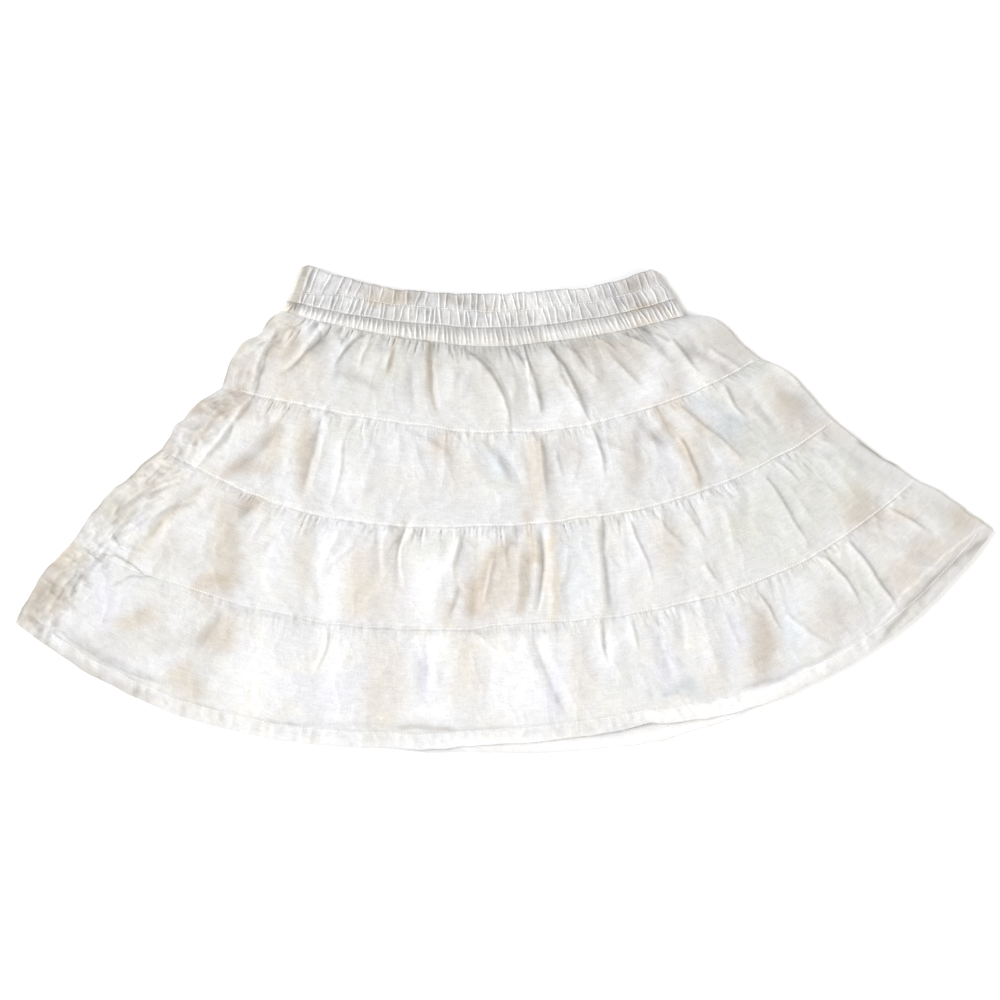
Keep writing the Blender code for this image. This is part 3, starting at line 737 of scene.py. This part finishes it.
def edge_shift(band, above, drop):
    """How far a band's upper edge has to move to meet the layer sewn on above it."""
    t = np.linspace(0.0, 1.0, JOIN_POINTS)
    top, foot = 0.0 * t, 0.0 * t + 1.0
    own = front_height(band, *band_place(band, band.front_lower, t, top), t, top)
    other = front_height(above, *band_place(above, above.front_lower, t, foot), t, foot)
    side = from_sides(t) * width_at(band, 0.0)
    return (np.clip(own, other - drop, other - 0.0001) - own) * ease(side / 0.004)


# Each seam: how much the upper edge is moved along it, and how far down that reaches.
JOINS = {
    "shirring": (edge_shift(SHIRRING, WAISTBAND, 0.0014), 0.004),
    "tier_1": (edge_shift(TIER_1, SHIRRING, 0.0010), 0.009),
    "tier_2": (edge_shift(TIER_2, TIER_1, 0.0004), 0.006),
    "tier_3": (edge_shift(TIER_3, TIER_2, 0.0004), 0.006),
    "tier_4": (edge_shift(TIER_4, TIER_3, 0.0004), 0.006),
}


def top_surface(band, t, v):
    """Outer points of the layer that shows from above."""
    x, y = band_place(band, band.front_lower, t, v)
    z = front_height(band, x, y, t, v)
    if band.name in JOINS:
        shift, reach = JOINS[band.name]
        line = np.linspace(0.0, 1.0, JOIN_POINTS)
        z = z + np.interp(t, line, shift) * fade(v * depth_of(band), reach)
    return x, y, z


def under_surface(band, t, v):
    """Outer points of the layer that rests on the surface: flat, with shallow troughs."""
    x, y = band_place(band, band.back_lower, t, v)
    hollow = turned_noise(x * 2.6, y * 0.7, 0.05, 0.2, 95)
    hollow = np.clip(hollow - 0.15, 0.0, 1.0) * 0.0011
    if band not in TIERS:
        row = BACK_SHIRRED_ROW if band is SHIRRING else BACK_CASING_ROW
        hollow = 0.0007 * (1.0 - pleated_row(t * 0.345, v, row, 0.0013, 4.0))
    side = from_sides(t) * width_at(band, v)
    return x, y, hollow * ease(side / 0.012 - 0.3) * arch(v) ** 0.5


def rounded(wall, from_edge, radius, cut):
    """Wall that thins in a round at a free edge."""
    near = np.clip(1.0 - from_edge / radius, 0.0, 1.0)
    return wall * np.sqrt(1.0 - cut * near ** 2)


def wall_at(band, v):
    """Thickness of the cloth down a band."""
    depth = depth_of(band)
    if band is WAISTBAND:
        return rounded(CASING_WALL, v * depth, 0.0016, 0.93)
    if band is TIER_4:
        from_foot = (1.0 - v) * depth
        wall = mix(CLOTH, HEM_WALL, fade(from_foot - HEM_DEPTH, 0.0012))
        return rounded(wall, from_foot, 0.0008, 0.9)
    return np.full_like(v, SHIRRING_WALL if band is SHIRRING else CLOTH)


def ring_strip(band, half, v, top_shares, under_shares):
    """Outer and inner points of one half, rows down and columns along the strip."""
    radius = band.half
    side = 1 if half == "front" else -1
    v = v[:, None]
    width = width_at(band, v)
    wall = wall_at(band, v)
    fold = radius / width
    edge = 1.0 - fold if side > 0 else fold
    seam = seam_turn(band, v) / width

    t = mix(seam, edge, top_shares[None, :])
    x, y, z = top_surface(band, t, v + 0.0 * t)
    top = (t, (x, y, z), (x, y, z - wall))

    angle = math.pi * (0.5 - np.arange(1, FOLD_STEPS) / FOLD_STEPS)[None, :]
    share = 0.5 - 0.5 * np.sin(angle)
    pair = []
    for reach in (radius, radius - np.minimum(wall, radius - 0.0003)):
        t = edge + side * reach * np.cos(angle) / width
        v_grid = v + 0.0 * t
        front_x, front_y, front_z = top_surface(band, t, v_grid)
        back_x, back_y = band_place(band, band.back_lower, t, v_grid)
        lift = (front_z - 2.0 * radius) * (1.0 - share)
        pair.append((mix(front_x, back_x, share), mix(front_y, back_y, share),
                     radius + reach * np.sin(angle) + lift))
    turn = (t, pair[0], pair[1])

    t = mix(edge, 1.0 - seam, under_shares[None, :])
    x, y, z = under_surface(band, t, v + 0.0 * t)
    under = (t, (x, y, z), (x, y, z + wall))

    parts = (top, turn, under)
    places = np.concatenate([part[0] for part in parts], 1)
    outer, inner = (np.concatenate([np.stack(part[k], 2) for part in parts], 1)
                    for k in (1, 2))
    if side < 0:
        places, outer, inner = places[:, ::-1], outer[:, ::-1], inner[:, ::-1]
    return places, outer, inner


def shell_faces(rows, columns):
    """Faces of a closed shell: a grid of outer points, then one of inner points."""
    grid = np.arange(rows * columns).reshape(rows, columns)
    under = rows * columns
    corner = grid[:-1, :-1].ravel()
    sheet = np.stack([corner, corner + columns, corner + columns + 1, corner + 1], 1)
    faces = [sheet, sheet[:, ::-1] + under]
    for line, order in ((grid[0], (0, 1, 3, 2)), (grid[-1], (2, 3, 1, 0)),
                        (grid[:, 0], (0, 2, 3, 1)), (grid[:, -1], (2, 0, 1, 3))):
        corners = np.stack([line[:-1], line[1:], line[:-1] + under, line[1:] + under], 1)
        faces.append(corners[:, order])
    return np.concatenate(faces)


def mesh_object(name, points, faces, material):
    """Object with a mesh of quads, smooth, with its sharp edges kept."""
    mesh = bpy.data.meshes.new(name)
    mesh.from_pydata(points.tolist(), [], faces.tolist())
    mesh.validate()
    mesh.shade_smooth()
    mesh.set_sharp_from_angle(angle=SHARP_ANGLE)
    mesh.materials.append(material)
    piece = bpy.data.objects.new(name, mesh)
    bpy.context.scene.collection.objects.link(piece)
    return piece


# --- Painted light and shade of the cloth, with its random hue, as a colour multiplier at each point ---
def tinted(colour, share):
    """Multiplier that goes from 1 towards a colour."""
    return mix(1.0, np.array(colour), share[..., None])


def painted_light_and_tone_at(points, band):
    """Painted light and shade in patches and strokes, and slow random changes of hue."""
    x, y = points[:, 0], points[:, 1]
    tone = np.ones((len(points), 3))
    wave_x = x + 0.007 * turned_noise(x, y, 0.024, 0.3, 61)
    wave_x = wave_x + 0.0025 * turned_noise(x, y, 0.007, 0.8, 63)
    wave_y = y + 0.010 * turned_noise(x, y, 0.024, 1.3, 62)
    for tint, rows in PAINTED_LIGHT_PATCHES.items():
        for middle_x, middle_y, reach_x, reach_y, strength in rows:
            gap = (((wave_x - middle_x * MM) / (reach_x * MM)) ** 2
                   + ((wave_y - middle_y * MM) / (reach_y * MM)) ** 2)
            tone = tone * tinted(LIGHT_AND_SHADE_TINTS[tint], strength * np.exp(-gap ** 1.4))
    line_x = x + 0.0016 * turned_noise(x, y, 0.012, 0.5, 63)
    line_y = y + 0.0016 * turned_noise(x, y, 0.012, 1.4, 62)
    for tint, rows in PAINTED_LIGHT_STROKES.items():
        for stroke in (Line(*row) for row in rows):
            along, flank = beside(stroke, line_x, line_y)
            ends = ease((along + 0.10) / 0.20) * ease((1.10 - along) / 0.20)
            share = stroke.weight * ends * np.exp(-1.2 * flank ** 2)
            tone = tone * tinted(LIGHT_AND_SHADE_TINTS[tint], share)
    hue = turned_noise(wave_x, wave_y, 0.028, 0.9, 74)
    hue = hue + 0.8 * turned_noise(wave_x, wave_y, 0.010, 0.2, 75)
    hue = np.where(hue < 0.0, 0.35 * hue, hue) * (1.0 if band in TIERS else 0.4)
    tone = tone * (1.0 + hue[:, None] * np.array((0.008, 0.002, -0.034)))
    cloudy = turned_noise(wave_x, wave_y, 0.045, 0.6, 64)
    cloudy = cloudy + 0.6 * turned_noise(wave_x, wave_y, 0.016, 1.6, 65)
    return tone * (1.0 + cloudy[:, None] * np.array((0.006, 0.010, 0.018)))


def blurred(grid, rows, columns):
    """Mean of a grid over windows that reach so many rows and columns each way."""
    for axis, reach in ((0, rows), (1, columns)):
        pads = [(0, 0), (0, 0)]
        pads[axis] = (reach, reach)
        padded = np.pad(grid, pads, mode="edge")
        windows = np.lib.stride_tricks.sliding_window_view(padded, 2 * reach + 1, axis)
        grid = windows.mean(-1)
    return grid


def hollow_shade(height, band):
    """Soft shade of hollows between gathers, and the glow of thin crests."""
    near = np.clip(height - blurred(height, 1, 3), -0.0010, 0.0008)
    wide = np.clip(height - blurred(height, 3, 8), -0.0016, 0.0010)
    strength, brightest = (1.0, 1.16) if band in TIERS else (2.6, 1.26)
    return np.clip(1.0 + strength * (90.0 * near + 45.0 * wide), 0.70, brightest)


def side_shade(places, v, band):
    """Mottled painted shade on the strip that turns over at the -X fold, and a thin line of deeper
    painted shade along the fold.
    """
    side = places * width_at(band, v)[:, None]
    down = v[:, None] * depth_of(band) + 0.0 * places
    inward = wrapped_end(band, places, v[:, None])
    ragged = 0.65 + 0.55 * soft_noise(down / 0.012, places * 0.0 + band.seed, 66)
    # painted shade in a thin ragged line along the fold's edge
    painted_rim_shade = fade(side, 0.0030 * ragged)
    if band not in TIERS:
        strip = 1.0 - ease(0.5 + inward / 0.0020)
        return tinted((0.80, 0.77, 0.71), np.maximum(strip, painted_rim_shade))
    mottle = soft_noise((side + 0.5 * down) / 0.0060, (down - 0.3 * side) / 0.0050, 66)
    mottle = mottle + 0.9 * soft_noise(side / 0.0028, down / 0.0026 + band.seed, 69)
    strip = (1.0 - ease(0.5 + inward / 0.010)) * np.clip(0.50 + 0.45 * mottle, 0.0, 1.3)
    return tinted((0.70, 0.67, 0.63), 0.42 * strip) * tinted((0.50, 0.48, 0.45), painted_rim_shade)


def band_shade(places, v, band):
    """A band's own painted light and shade: uneven painted shade over the casing's gathers and
    along its free top edge, the shirred strip shaded at its top and lit at its foot, and on the
    tiers a painted highlight along the pressed seam with painted shade under the shirring.
    """
    down = v[:, None] + 0.0 * places
    if band is WAISTBAND:
        across = places * 0.34
        cells = soft_noise(across / 0.013, down * 2.0, 67)
        cells = cells + 0.8 * soft_noise(across / 0.0065, down * 3.0, 68)
        # painted shade, uneven over the gathers, and deeper in a thin line along the top edge
        return (0.93 + 0.09 * cells) * (1.0 - 0.25 * bell(down * depth_of(band), 0.0011))
    if band is SHIRRING:
        cells = soft_noise(places * 0.36 / 0.0036, down * 1.5, 69)
        # painted shade at the strip's top, painted light towards its foot
        return mix(0.74, 1.14, ease(down * 1.2)) * (1.0 + 0.10 * cells)
    if band is TIER_4:
        return np.ones_like(places)
    # painted highlight along the topstitching above the lower seam
    line = bell((1.0 - down) * depth_of(band) - 0.0018, 0.0012)
    stitch_light_share = (0.6 + 0.6 * line_noise(places, 0.018, 70, band.seed)) * ease(places / 0.10)
    if band is TIER_3:
        # in the middle of this seam the highlight turns to painted shade
        stitch_light_share = stitch_light_share * mix(-0.7, 1.0, ease((places - 0.64) / 0.08))
    shade = 1.0 + 0.08 * line * stitch_light_share
    if band is TIER_1:
        # painted shade in a band under the shirring, deeper towards +X
        under = mix(0.06, 0.16, ease((places - 0.25) / 0.2))
        shade = shade * (1.0 - under * bell(down * depth_of(band), 0.010))
    return shade


def pucker_share(band, places):
    """How strongly the cloth is puckered under its upper seam along the seam."""
    across = places * span(band.upper)
    share = 0.55 + 0.9 * line_noise(across, 0.017, band.seed + 8)
    share = share + 0.5 * line_noise(across, 0.0055, band.seed + 12)
    share = np.clip(share * calmed(band, 0.35, places), 0.0, 1.3)
    return share * (1.0 if band in TIERS else 0.0)


def give_maps(piece, places, v, band, outer):
    """Cloth coordinates in metres as the UV map, and the painted light and shade with the
    cloth's random hue as a colour attribute.
    """
    mesh = piece.data
    width, depth = CUTS[band.name]
    u = np.tile((places * width).ravel(), 2)
    w = np.tile(np.repeat(v[:, None] * depth, places.shape[1], 1).ravel(), 2)
    corners = np.empty(len(mesh.loops), np.int32)
    mesh.loops.foreach_get("vertex_index", corners)
    layer = mesh.uv_layers.new(name="cloth")
    layer.data.foreach_set("uv", np.stack([u[corners], w[corners]], 1)
                           .astype(np.float32).ravel())
    height = outer[:, :, 2]
    # painted shade in hollows with a painted glow on crests, each band's own painted light and
    # shade, and the painted shade of the turned-over strip
    shade = (hollow_shade(height, band) * band_shade(places, v, band))[:, :, None]
    shade = shade * side_shade(places, v, band)
    tone = painted_light_and_tone_at(outer.reshape(-1, 3), band) * shade.reshape(-1, 3)
    rests = fade(height.reshape(-1, 1) - 0.0006, 0.0012)
    plain = mix(tone, mix(1.0, tone, UNDER_SHARE), rests)
    colours = np.ones((2 * len(tone), 4), np.float32)
    colours[:, :3] = np.clip(np.concatenate([plain, tone]), 0.0, 1.25)
    colours[:, 3] = np.tile(pucker_share(band, places).ravel(), 2)
    attribute = mesh.color_attributes.new("tone", "FLOAT_COLOR", "POINT")
    attribute.data.foreach_set("color", colours.ravel())


def cloth_shell(band, half, rows, top_columns, under_columns, material):
    """One panel of cloth as a closed thin shell on its solid's form."""
    even = np.linspace(0.0, 1.0, rows)
    v = even - 0.62 * np.sin(2.0 * np.pi * even) / (2.0 * np.pi)
    places, outer, inner = ring_strip(band, half, v, np.linspace(0.0, 1.0, top_columns),
                                      np.linspace(0.0, 1.0, under_columns))
    points = np.concatenate([outer.reshape(-1, 3), inner.reshape(-1, 3)])
    piece = mesh_object(f"{band.name}_{half}_cloth", points, shell_faces(*places.shape),
                        material)
    give_maps(piece, places, v, band, outer)
    return piece


# --- Stitching ---
# Rings of one stitch: share of its length, size, and rise, both in thread radii.
STITCH_RINGS = ((0.0, 0.35, -0.6), (0.18, 0.9, 0.2), (0.5, 1.0, 0.5),
                (0.82, 0.9, 0.2), (1.0, 0.35, -0.6))
STITCH_SIDES = 6


def stitch_faces():
    """Faces of one stitch: its sides, then two quads over each end."""
    sides, last = STITCH_SIDES, (len(STITCH_RINGS) - 1) * STITCH_SIDES
    quads = [[ring + k, ring + (k + 1) % sides,
              ring + sides + (k + 1) % sides, ring + sides + k]
             for ring in range(0, last, sides) for k in range(sides)]
    for start, way in ((0, -1), (last, 1)):
        for k in (0, 2):
            quads.append([start + k, start + k + 1, start + k + 2,
                          start + (k + 3) % sides][::way])
    return np.array(quads)


def stitch_row(path, pitch, share, radius, lift):
    """Stitches along a path: small capsules, each share of the pitch long."""
    steps = np.linalg.norm(np.diff(path, axis=0), axis=1)
    length = np.concatenate([[0.0], np.cumsum(steps)])
    count = int(length[-1] / pitch)
    middles = (np.arange(count) + 0.5) * pitch
    first, last = (np.stack([np.interp(middles + way * share * pitch, length, path[:, k])
                             for k in range(3)], 1) for way in (-0.5, 0.5))
    along = last - first
    along /= np.linalg.norm(along, axis=1)[:, None] + 1e-12
    side = np.cross(along, np.array([0.0, 0.0, 1.0]))
    side /= np.linalg.norm(side, axis=1)[:, None] + 1e-12
    up = np.cross(side, along)
    points = []
    for way, size, rise in STITCH_RINGS:
        centre = mix(first, last, way) + up * (lift + rise * radius)
        for k in range(STITCH_SIDES):
            angle = 2.0 * math.pi * k / STITCH_SIDES
            points.append(centre + size * radius * (math.cos(angle) * side
                                                    + math.sin(angle) * up))
    starts = np.arange(count)[:, None, None] * len(points)
    return np.stack(points, 1).reshape(-1, 3), (starts + stitch_faces()).reshape(-1, 4)


def stitch_object(name, rows, material):
    """One object that holds several rows of stitches."""
    points, faces, total = [], [], 0
    for row_points, row_faces in rows:
        points.append(row_points)
        faces.append(row_faces + total)
        total += len(row_points)
    return mesh_object(name, np.concatenate(points), np.concatenate(faces), material)


# --- Materials ---
def set_sockets(tree, node, values):
    """Link each named socket to another node's output, or set its value."""
    for name, value in values.items():
        socket = node.inputs[name]
        if isinstance(value, bpy.types.NodeSocket):
            tree.links.new(value, socket)
        else:
            socket.default_value = value


def new_node(tree, kind, values=()):
    node = tree.nodes.new("ShaderNode" + kind)
    set_sockets(tree, node, dict(values))
    return node


def new_material(name):
    """Material, its node tree and its main shader."""
    material = bpy.data.materials.new(name)
    material.use_nodes = True
    return material, material.node_tree, material.node_tree.nodes["Principled BSDF"]


def bump(tree, height, strength, distance, **below):
    """Normal of a bumped surface, on top of the normal below it."""
    values = {"Height": height, "Strength": strength, "Distance": distance, **below}
    return new_node(tree, "Bump", values).outputs["Normal"]


def shaded(colour, share):
    return (*[channel * share for channel in colour], 1.0)


def linen(name, colour, slub_strength, weave_strength):
    """Washed plain-weave linen: weave, slubs, mottling, puckers under its seam with painted shade
    in the hollows between them, and the colour attribute that carries the cloth's painted light
    and shade and random hue, whose alpha says how strong the puckers are."""
    material, tree, shader = new_material(name)
    cloth = new_node(tree, "UVMap")
    cloth.uv_map = "cloth"
    place = cloth.outputs["UV"]

    def noise(scale_u, scale_v, detail, roughness):
        stretch = new_node(tree, "Mapping", {"Scale": (scale_u, scale_v, 1.0),
                                             "Vector": place})
        return new_node(tree, "TexNoise", {
            "Scale": 1.0, "Detail": detail, "Roughness": roughness,
            "Vector": stretch.outputs["Vector"]}).outputs["Fac"]

    def wave(direction, pitch):
        texture = new_node(tree, "TexWave", {"Scale": 0.314 / pitch, "Distortion": 0.6,
                                             "Detail": 1.0, "Vector": place})
        texture.wave_type = "BANDS"
        texture.bands_direction = direction
        return texture.outputs["Fac"]

    def combine(operation, first, second):
        node = new_node(tree, "Math", {0: first, 1: second})
        node.operation = operation
        return node.outputs["Value"]

    def blend(first, first_share, second, second_share):
        return combine("ADD", combine("MULTIPLY", first, first_share),
                       combine("MULTIPLY", second, second_share))

    weave = combine("MULTIPLY", wave("X", 0.0007), wave("Y", 0.0007))
    slubs = blend(noise(70.0, 620.0, 3.0, 0.62), 0.65, noise(640.0, 90.0, 3.0, 0.6), 0.35)
    mottle = noise(110.0, 190.0, 5.0, 0.62)
    specks = noise(620.0, 620.0, 2.0, 0.5)

    down = new_node(tree, "SeparateXYZ", {"Vector": place}).outputs["Y"]
    near_seam = new_node(tree, "MapRange", {"Value": down, "From Min": 0.0005,
                                            "From Max": 0.0130, "To Min": 1.0,
                                            "To Max": 0.0})
    near_seam.interpolation_type = "SMOOTHSTEP"
    tone = new_node(tree, "VertexColor")
    tone.layer_name = "tone"
    held = combine("MULTIPLY", near_seam.outputs["Result"], tone.outputs["Alpha"])
    ridges = blend(noise(330.0, 50.0, 1.0, 0.4), 0.65, noise(140.0, 35.0, 1.0, 0.4), 0.35)
    puckers = combine("MULTIPLY", ridges, held)
    # painted shade in the hollows between the puckers
    painted_pit_shade = combine("MULTIPLY", combine("SUBTRACT", 0.54, ridges), held)

    light = combine("ADD", blend(slubs, 0.45, mottle, 0.30),
                    combine("MULTIPLY", specks, 0.25))
    ramp = new_node(tree, "ValToRGB", {
        "Fac": combine("SUBTRACT", light, combine("MULTIPLY", painted_pit_shade, 1.1))})
    stops = ramp.color_ramp.elements
    stops[0].position, stops[0].color = 0.40, shaded(colour, 0.90)
    stops[1].position, stops[1].color = 0.60, shaded(colour, 1.04)
    # lowest stop: the painted shade that the hollows between puckers reach
    stops.new(0.10).color = shaded(colour, 0.66)
    tint = new_node(tree, "Mix", {"Factor": 1.0, 6: ramp.outputs["Color"],
                                  7: tone.outputs["Color"]})
    tint.data_type = "RGBA"
    tint.blend_type = "MULTIPLY"

    normal = bump(tree, puckers, 0.8, 0.0016)
    normal = bump(tree, mottle, 0.7, 0.0012, Normal=normal)
    normal = bump(tree, slubs, slub_strength, 0.0006, Normal=normal)
    normal = bump(tree, weave, weave_strength, 0.0002, Normal=normal)
    set_sockets(tree, shader, {
        "Roughness": 0.88, "Specular IOR Level": 0.12, "Sheen Weight": 0.12,
        "Sheen Roughness": 0.5, "Base Color": tint.outputs[2], "Normal": normal})
    return material


def thread(name, colour):
    """Matt cotton thread with a fine twist."""
    material, tree, shader = new_material(name)
    place = new_node(tree, "TexCoord").outputs["Object"]
    twist = new_node(tree, "TexNoise", {"Scale": 1800.0, "Vector": place}).outputs["Fac"]
    ramp = new_node(tree, "ValToRGB", {"Fac": twist})
    ramp.color_ramp.elements[0].color = shaded(colour, 0.9)
    ramp.color_ramp.elements[1].color = (*colour, 1.0)
    set_sockets(tree, shader, {
        "Roughness": 0.7, "Sheen Weight": 0.2, "Base Color": ramp.outputs["Color"],
        "Normal": bump(tree, twist, 0.3, 0.0001)})
    return material


# --- The garment ---
def slot_of(name):
    return "casing_linen" if name in ("waistband", "shirring") else "tier_linen"


def make_cloth():
    """Every cloth panel, by name and half."""
    linens = {"tier_linen": linen("tier_linen", (0.650, 0.650, 0.648), 0.85, 0.45),
              "casing_linen": linen("casing_linen", (0.630, 0.627, 0.623), 0.6, 0.40)}
    made = {}
    for band, rows, columns in ((WAISTBAND, 44, 640), (SHIRRING, 22, 640),
                                (TIER_1, 54, 430), (TIER_2, 56, 520),
                                (TIER_3, 60, 640), (TIER_4, 66, 730)):
        material = linens[slot_of(band.name)]
        made[band.name, "front"] = cloth_shell(band, "front", rows, columns, 6, material)
        made[band.name, "back"] = cloth_shell(band, "back", rows, 26, 64, material)
    return made


def make_stitches():
    """Rows of stitching on the front, by the name of their band."""
    cotton = thread("cotton_thread", (0.95, 0.945, 0.93))
    first, last = 0.035, 0.992

    def row(band, v, pitch, share, radius, lift, start=first, end=last, count=900):
        """Stitches from start to end at v down a band."""
        t = np.linspace(start, end, count)
        v = v(t) if callable(v) else v + 0.0 * t
        path = np.stack(top_surface(band, t, v), 1)
        return stitch_row(path, pitch, share, radius, lift)

    def seam_row(band, lift=0.00005, *stretch):
        return row(band, 1.0 - SEAM_ROW / depth_of(band), 0.0026, 0.88, 0.00038, lift, *stretch)

    hem_v = 1.0 - (HEM_DEPTH - 0.0012) / depth_of(TIER_4)
    rows = {
        "waistband": [row(WAISTBAND, row_share, 0.0024, 0.86, 0.00034, 0.0001),
                      row(WAISTBAND, 0.965, 0.0024, 0.74, 0.00024, 0.0001)],
        "tier_1": [seam_row(TIER_1)],
        "tier_2": [seam_row(TIER_2)],
        # sunk into the seam by a different amount in each stretch
        "tier_3": [seam_row(TIER_3, -0.0007, first, 0.11, 500),
                   seam_row(TIER_3, -0.0002, 0.11, 0.17, 500),
                   seam_row(TIER_3, -0.00035, 0.17, 0.78, 500),
                   seam_row(TIER_3, 0.00005, 0.78, last, 500)],
        "tier_4": [row(TIER_4, hem_v, 0.0027, 0.74, 0.00028, 0.0001)],
    }
    return {name: stitch_object("hem_stitches" if name == "tier_4" else name + "_stitches",
                                made, cotton) for name, made in rows.items()}


def declare(cloth, stitches):
    """Hang each piece on the root body, and hide the solid that each cloth panel stands for."""
    for (name, half), piece in cloth.items():
        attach(piece, "root")
        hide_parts(f"{name}_{half}")
    for name, piece in stitches.items():
        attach(piece, "root")


# --- The floor, the lights and the camera ---
FLOOR_REACH = 4.0
FLOOR_LEVEL = -0.0006
WORLD_STRENGTH = 0.54
LENS = 80.0
EYE_HEIGHT = 2.0
EYE_SHIFT = (-0.004, 0.007)     # from straight above the middle of the garment
# Soft square lights: name, place, target, size, power and colour.
LIGHTS = (
    ("key", (-4.0, 1.5, 2.3), (0.0, 0.0, 0.0), 3.0, 280.0, (0.97, 0.98, 1.0)),
    ("warm_fill", (3.6, -1.3, 1.9), (0.0, 0.0, 0.0), 2.4, 68.0, (1.0, 0.91, 0.80)),
    ("low_front", (-0.1, -1.5, 1.15), (0.0, -0.1, 0.0), 0.9, 14.0, (1, 1, 1)),
)


def make_floor():
    """Plain pale surface under the garment."""
    material, tree, shader = new_material("floor_white")
    set_sockets(tree, shader, {"Base Color": (0.95, 0.95, 0.95, 1.0), "Roughness": 0.95,
                               "Specular IOR Level": 0.0})
    points = np.array([(x * FLOOR_REACH, y * FLOOR_REACH, FLOOR_LEVEL)
                       for x, y in ((-1, -1), (1, -1), (1, 1), (-1, 1))])
    floor = mesh_object("floor", points, np.array([(0, 1, 2, 3)]), material)


def make_stage():
    """Floor, soft studio light and a camera straight above the garment."""
    make_floor()
    scene = bpy.context.scene
    world = bpy.data.worlds.new("studio")
    world.use_nodes = True
    set_sockets(world.node_tree, world.node_tree.nodes["Background"],
                {"Color": (1, 1, 1, 1), "Strength": WORLD_STRENGTH})
    scene.world = world
    scene.view_settings.view_transform = "Standard"
    for name, place, target, size, power, colour in LIGHTS:
        lamp = bpy.data.lights.new(name, "AREA")
        lamp.shape = "SQUARE"
        lamp.size = size
        lamp.energy = power
        lamp.color = colour
        light = bpy.data.objects.new(name, lamp)
        light.location = place
        aim = Vector(target) - Vector(place)
        light.rotation_euler = aim.to_track_quat("-Z", "Y").to_euler()
        scene.collection.objects.link(light)
    low, high = cad_box
    middle = (low + high) / 2.0
    camera = bpy.data.cameras.new("camera")
    camera.lens = LENS
    eye = bpy.data.objects.new("camera", camera)
    eye.location = (middle.x + EYE_SHIFT[0], middle.y + EYE_SHIFT[1], EYE_HEIGHT)
    scene.collection.objects.link(eye)
    scene.camera = eye


cloth = make_cloth()
stitches = make_stitches()
declare(cloth, stitches)
make_stage()
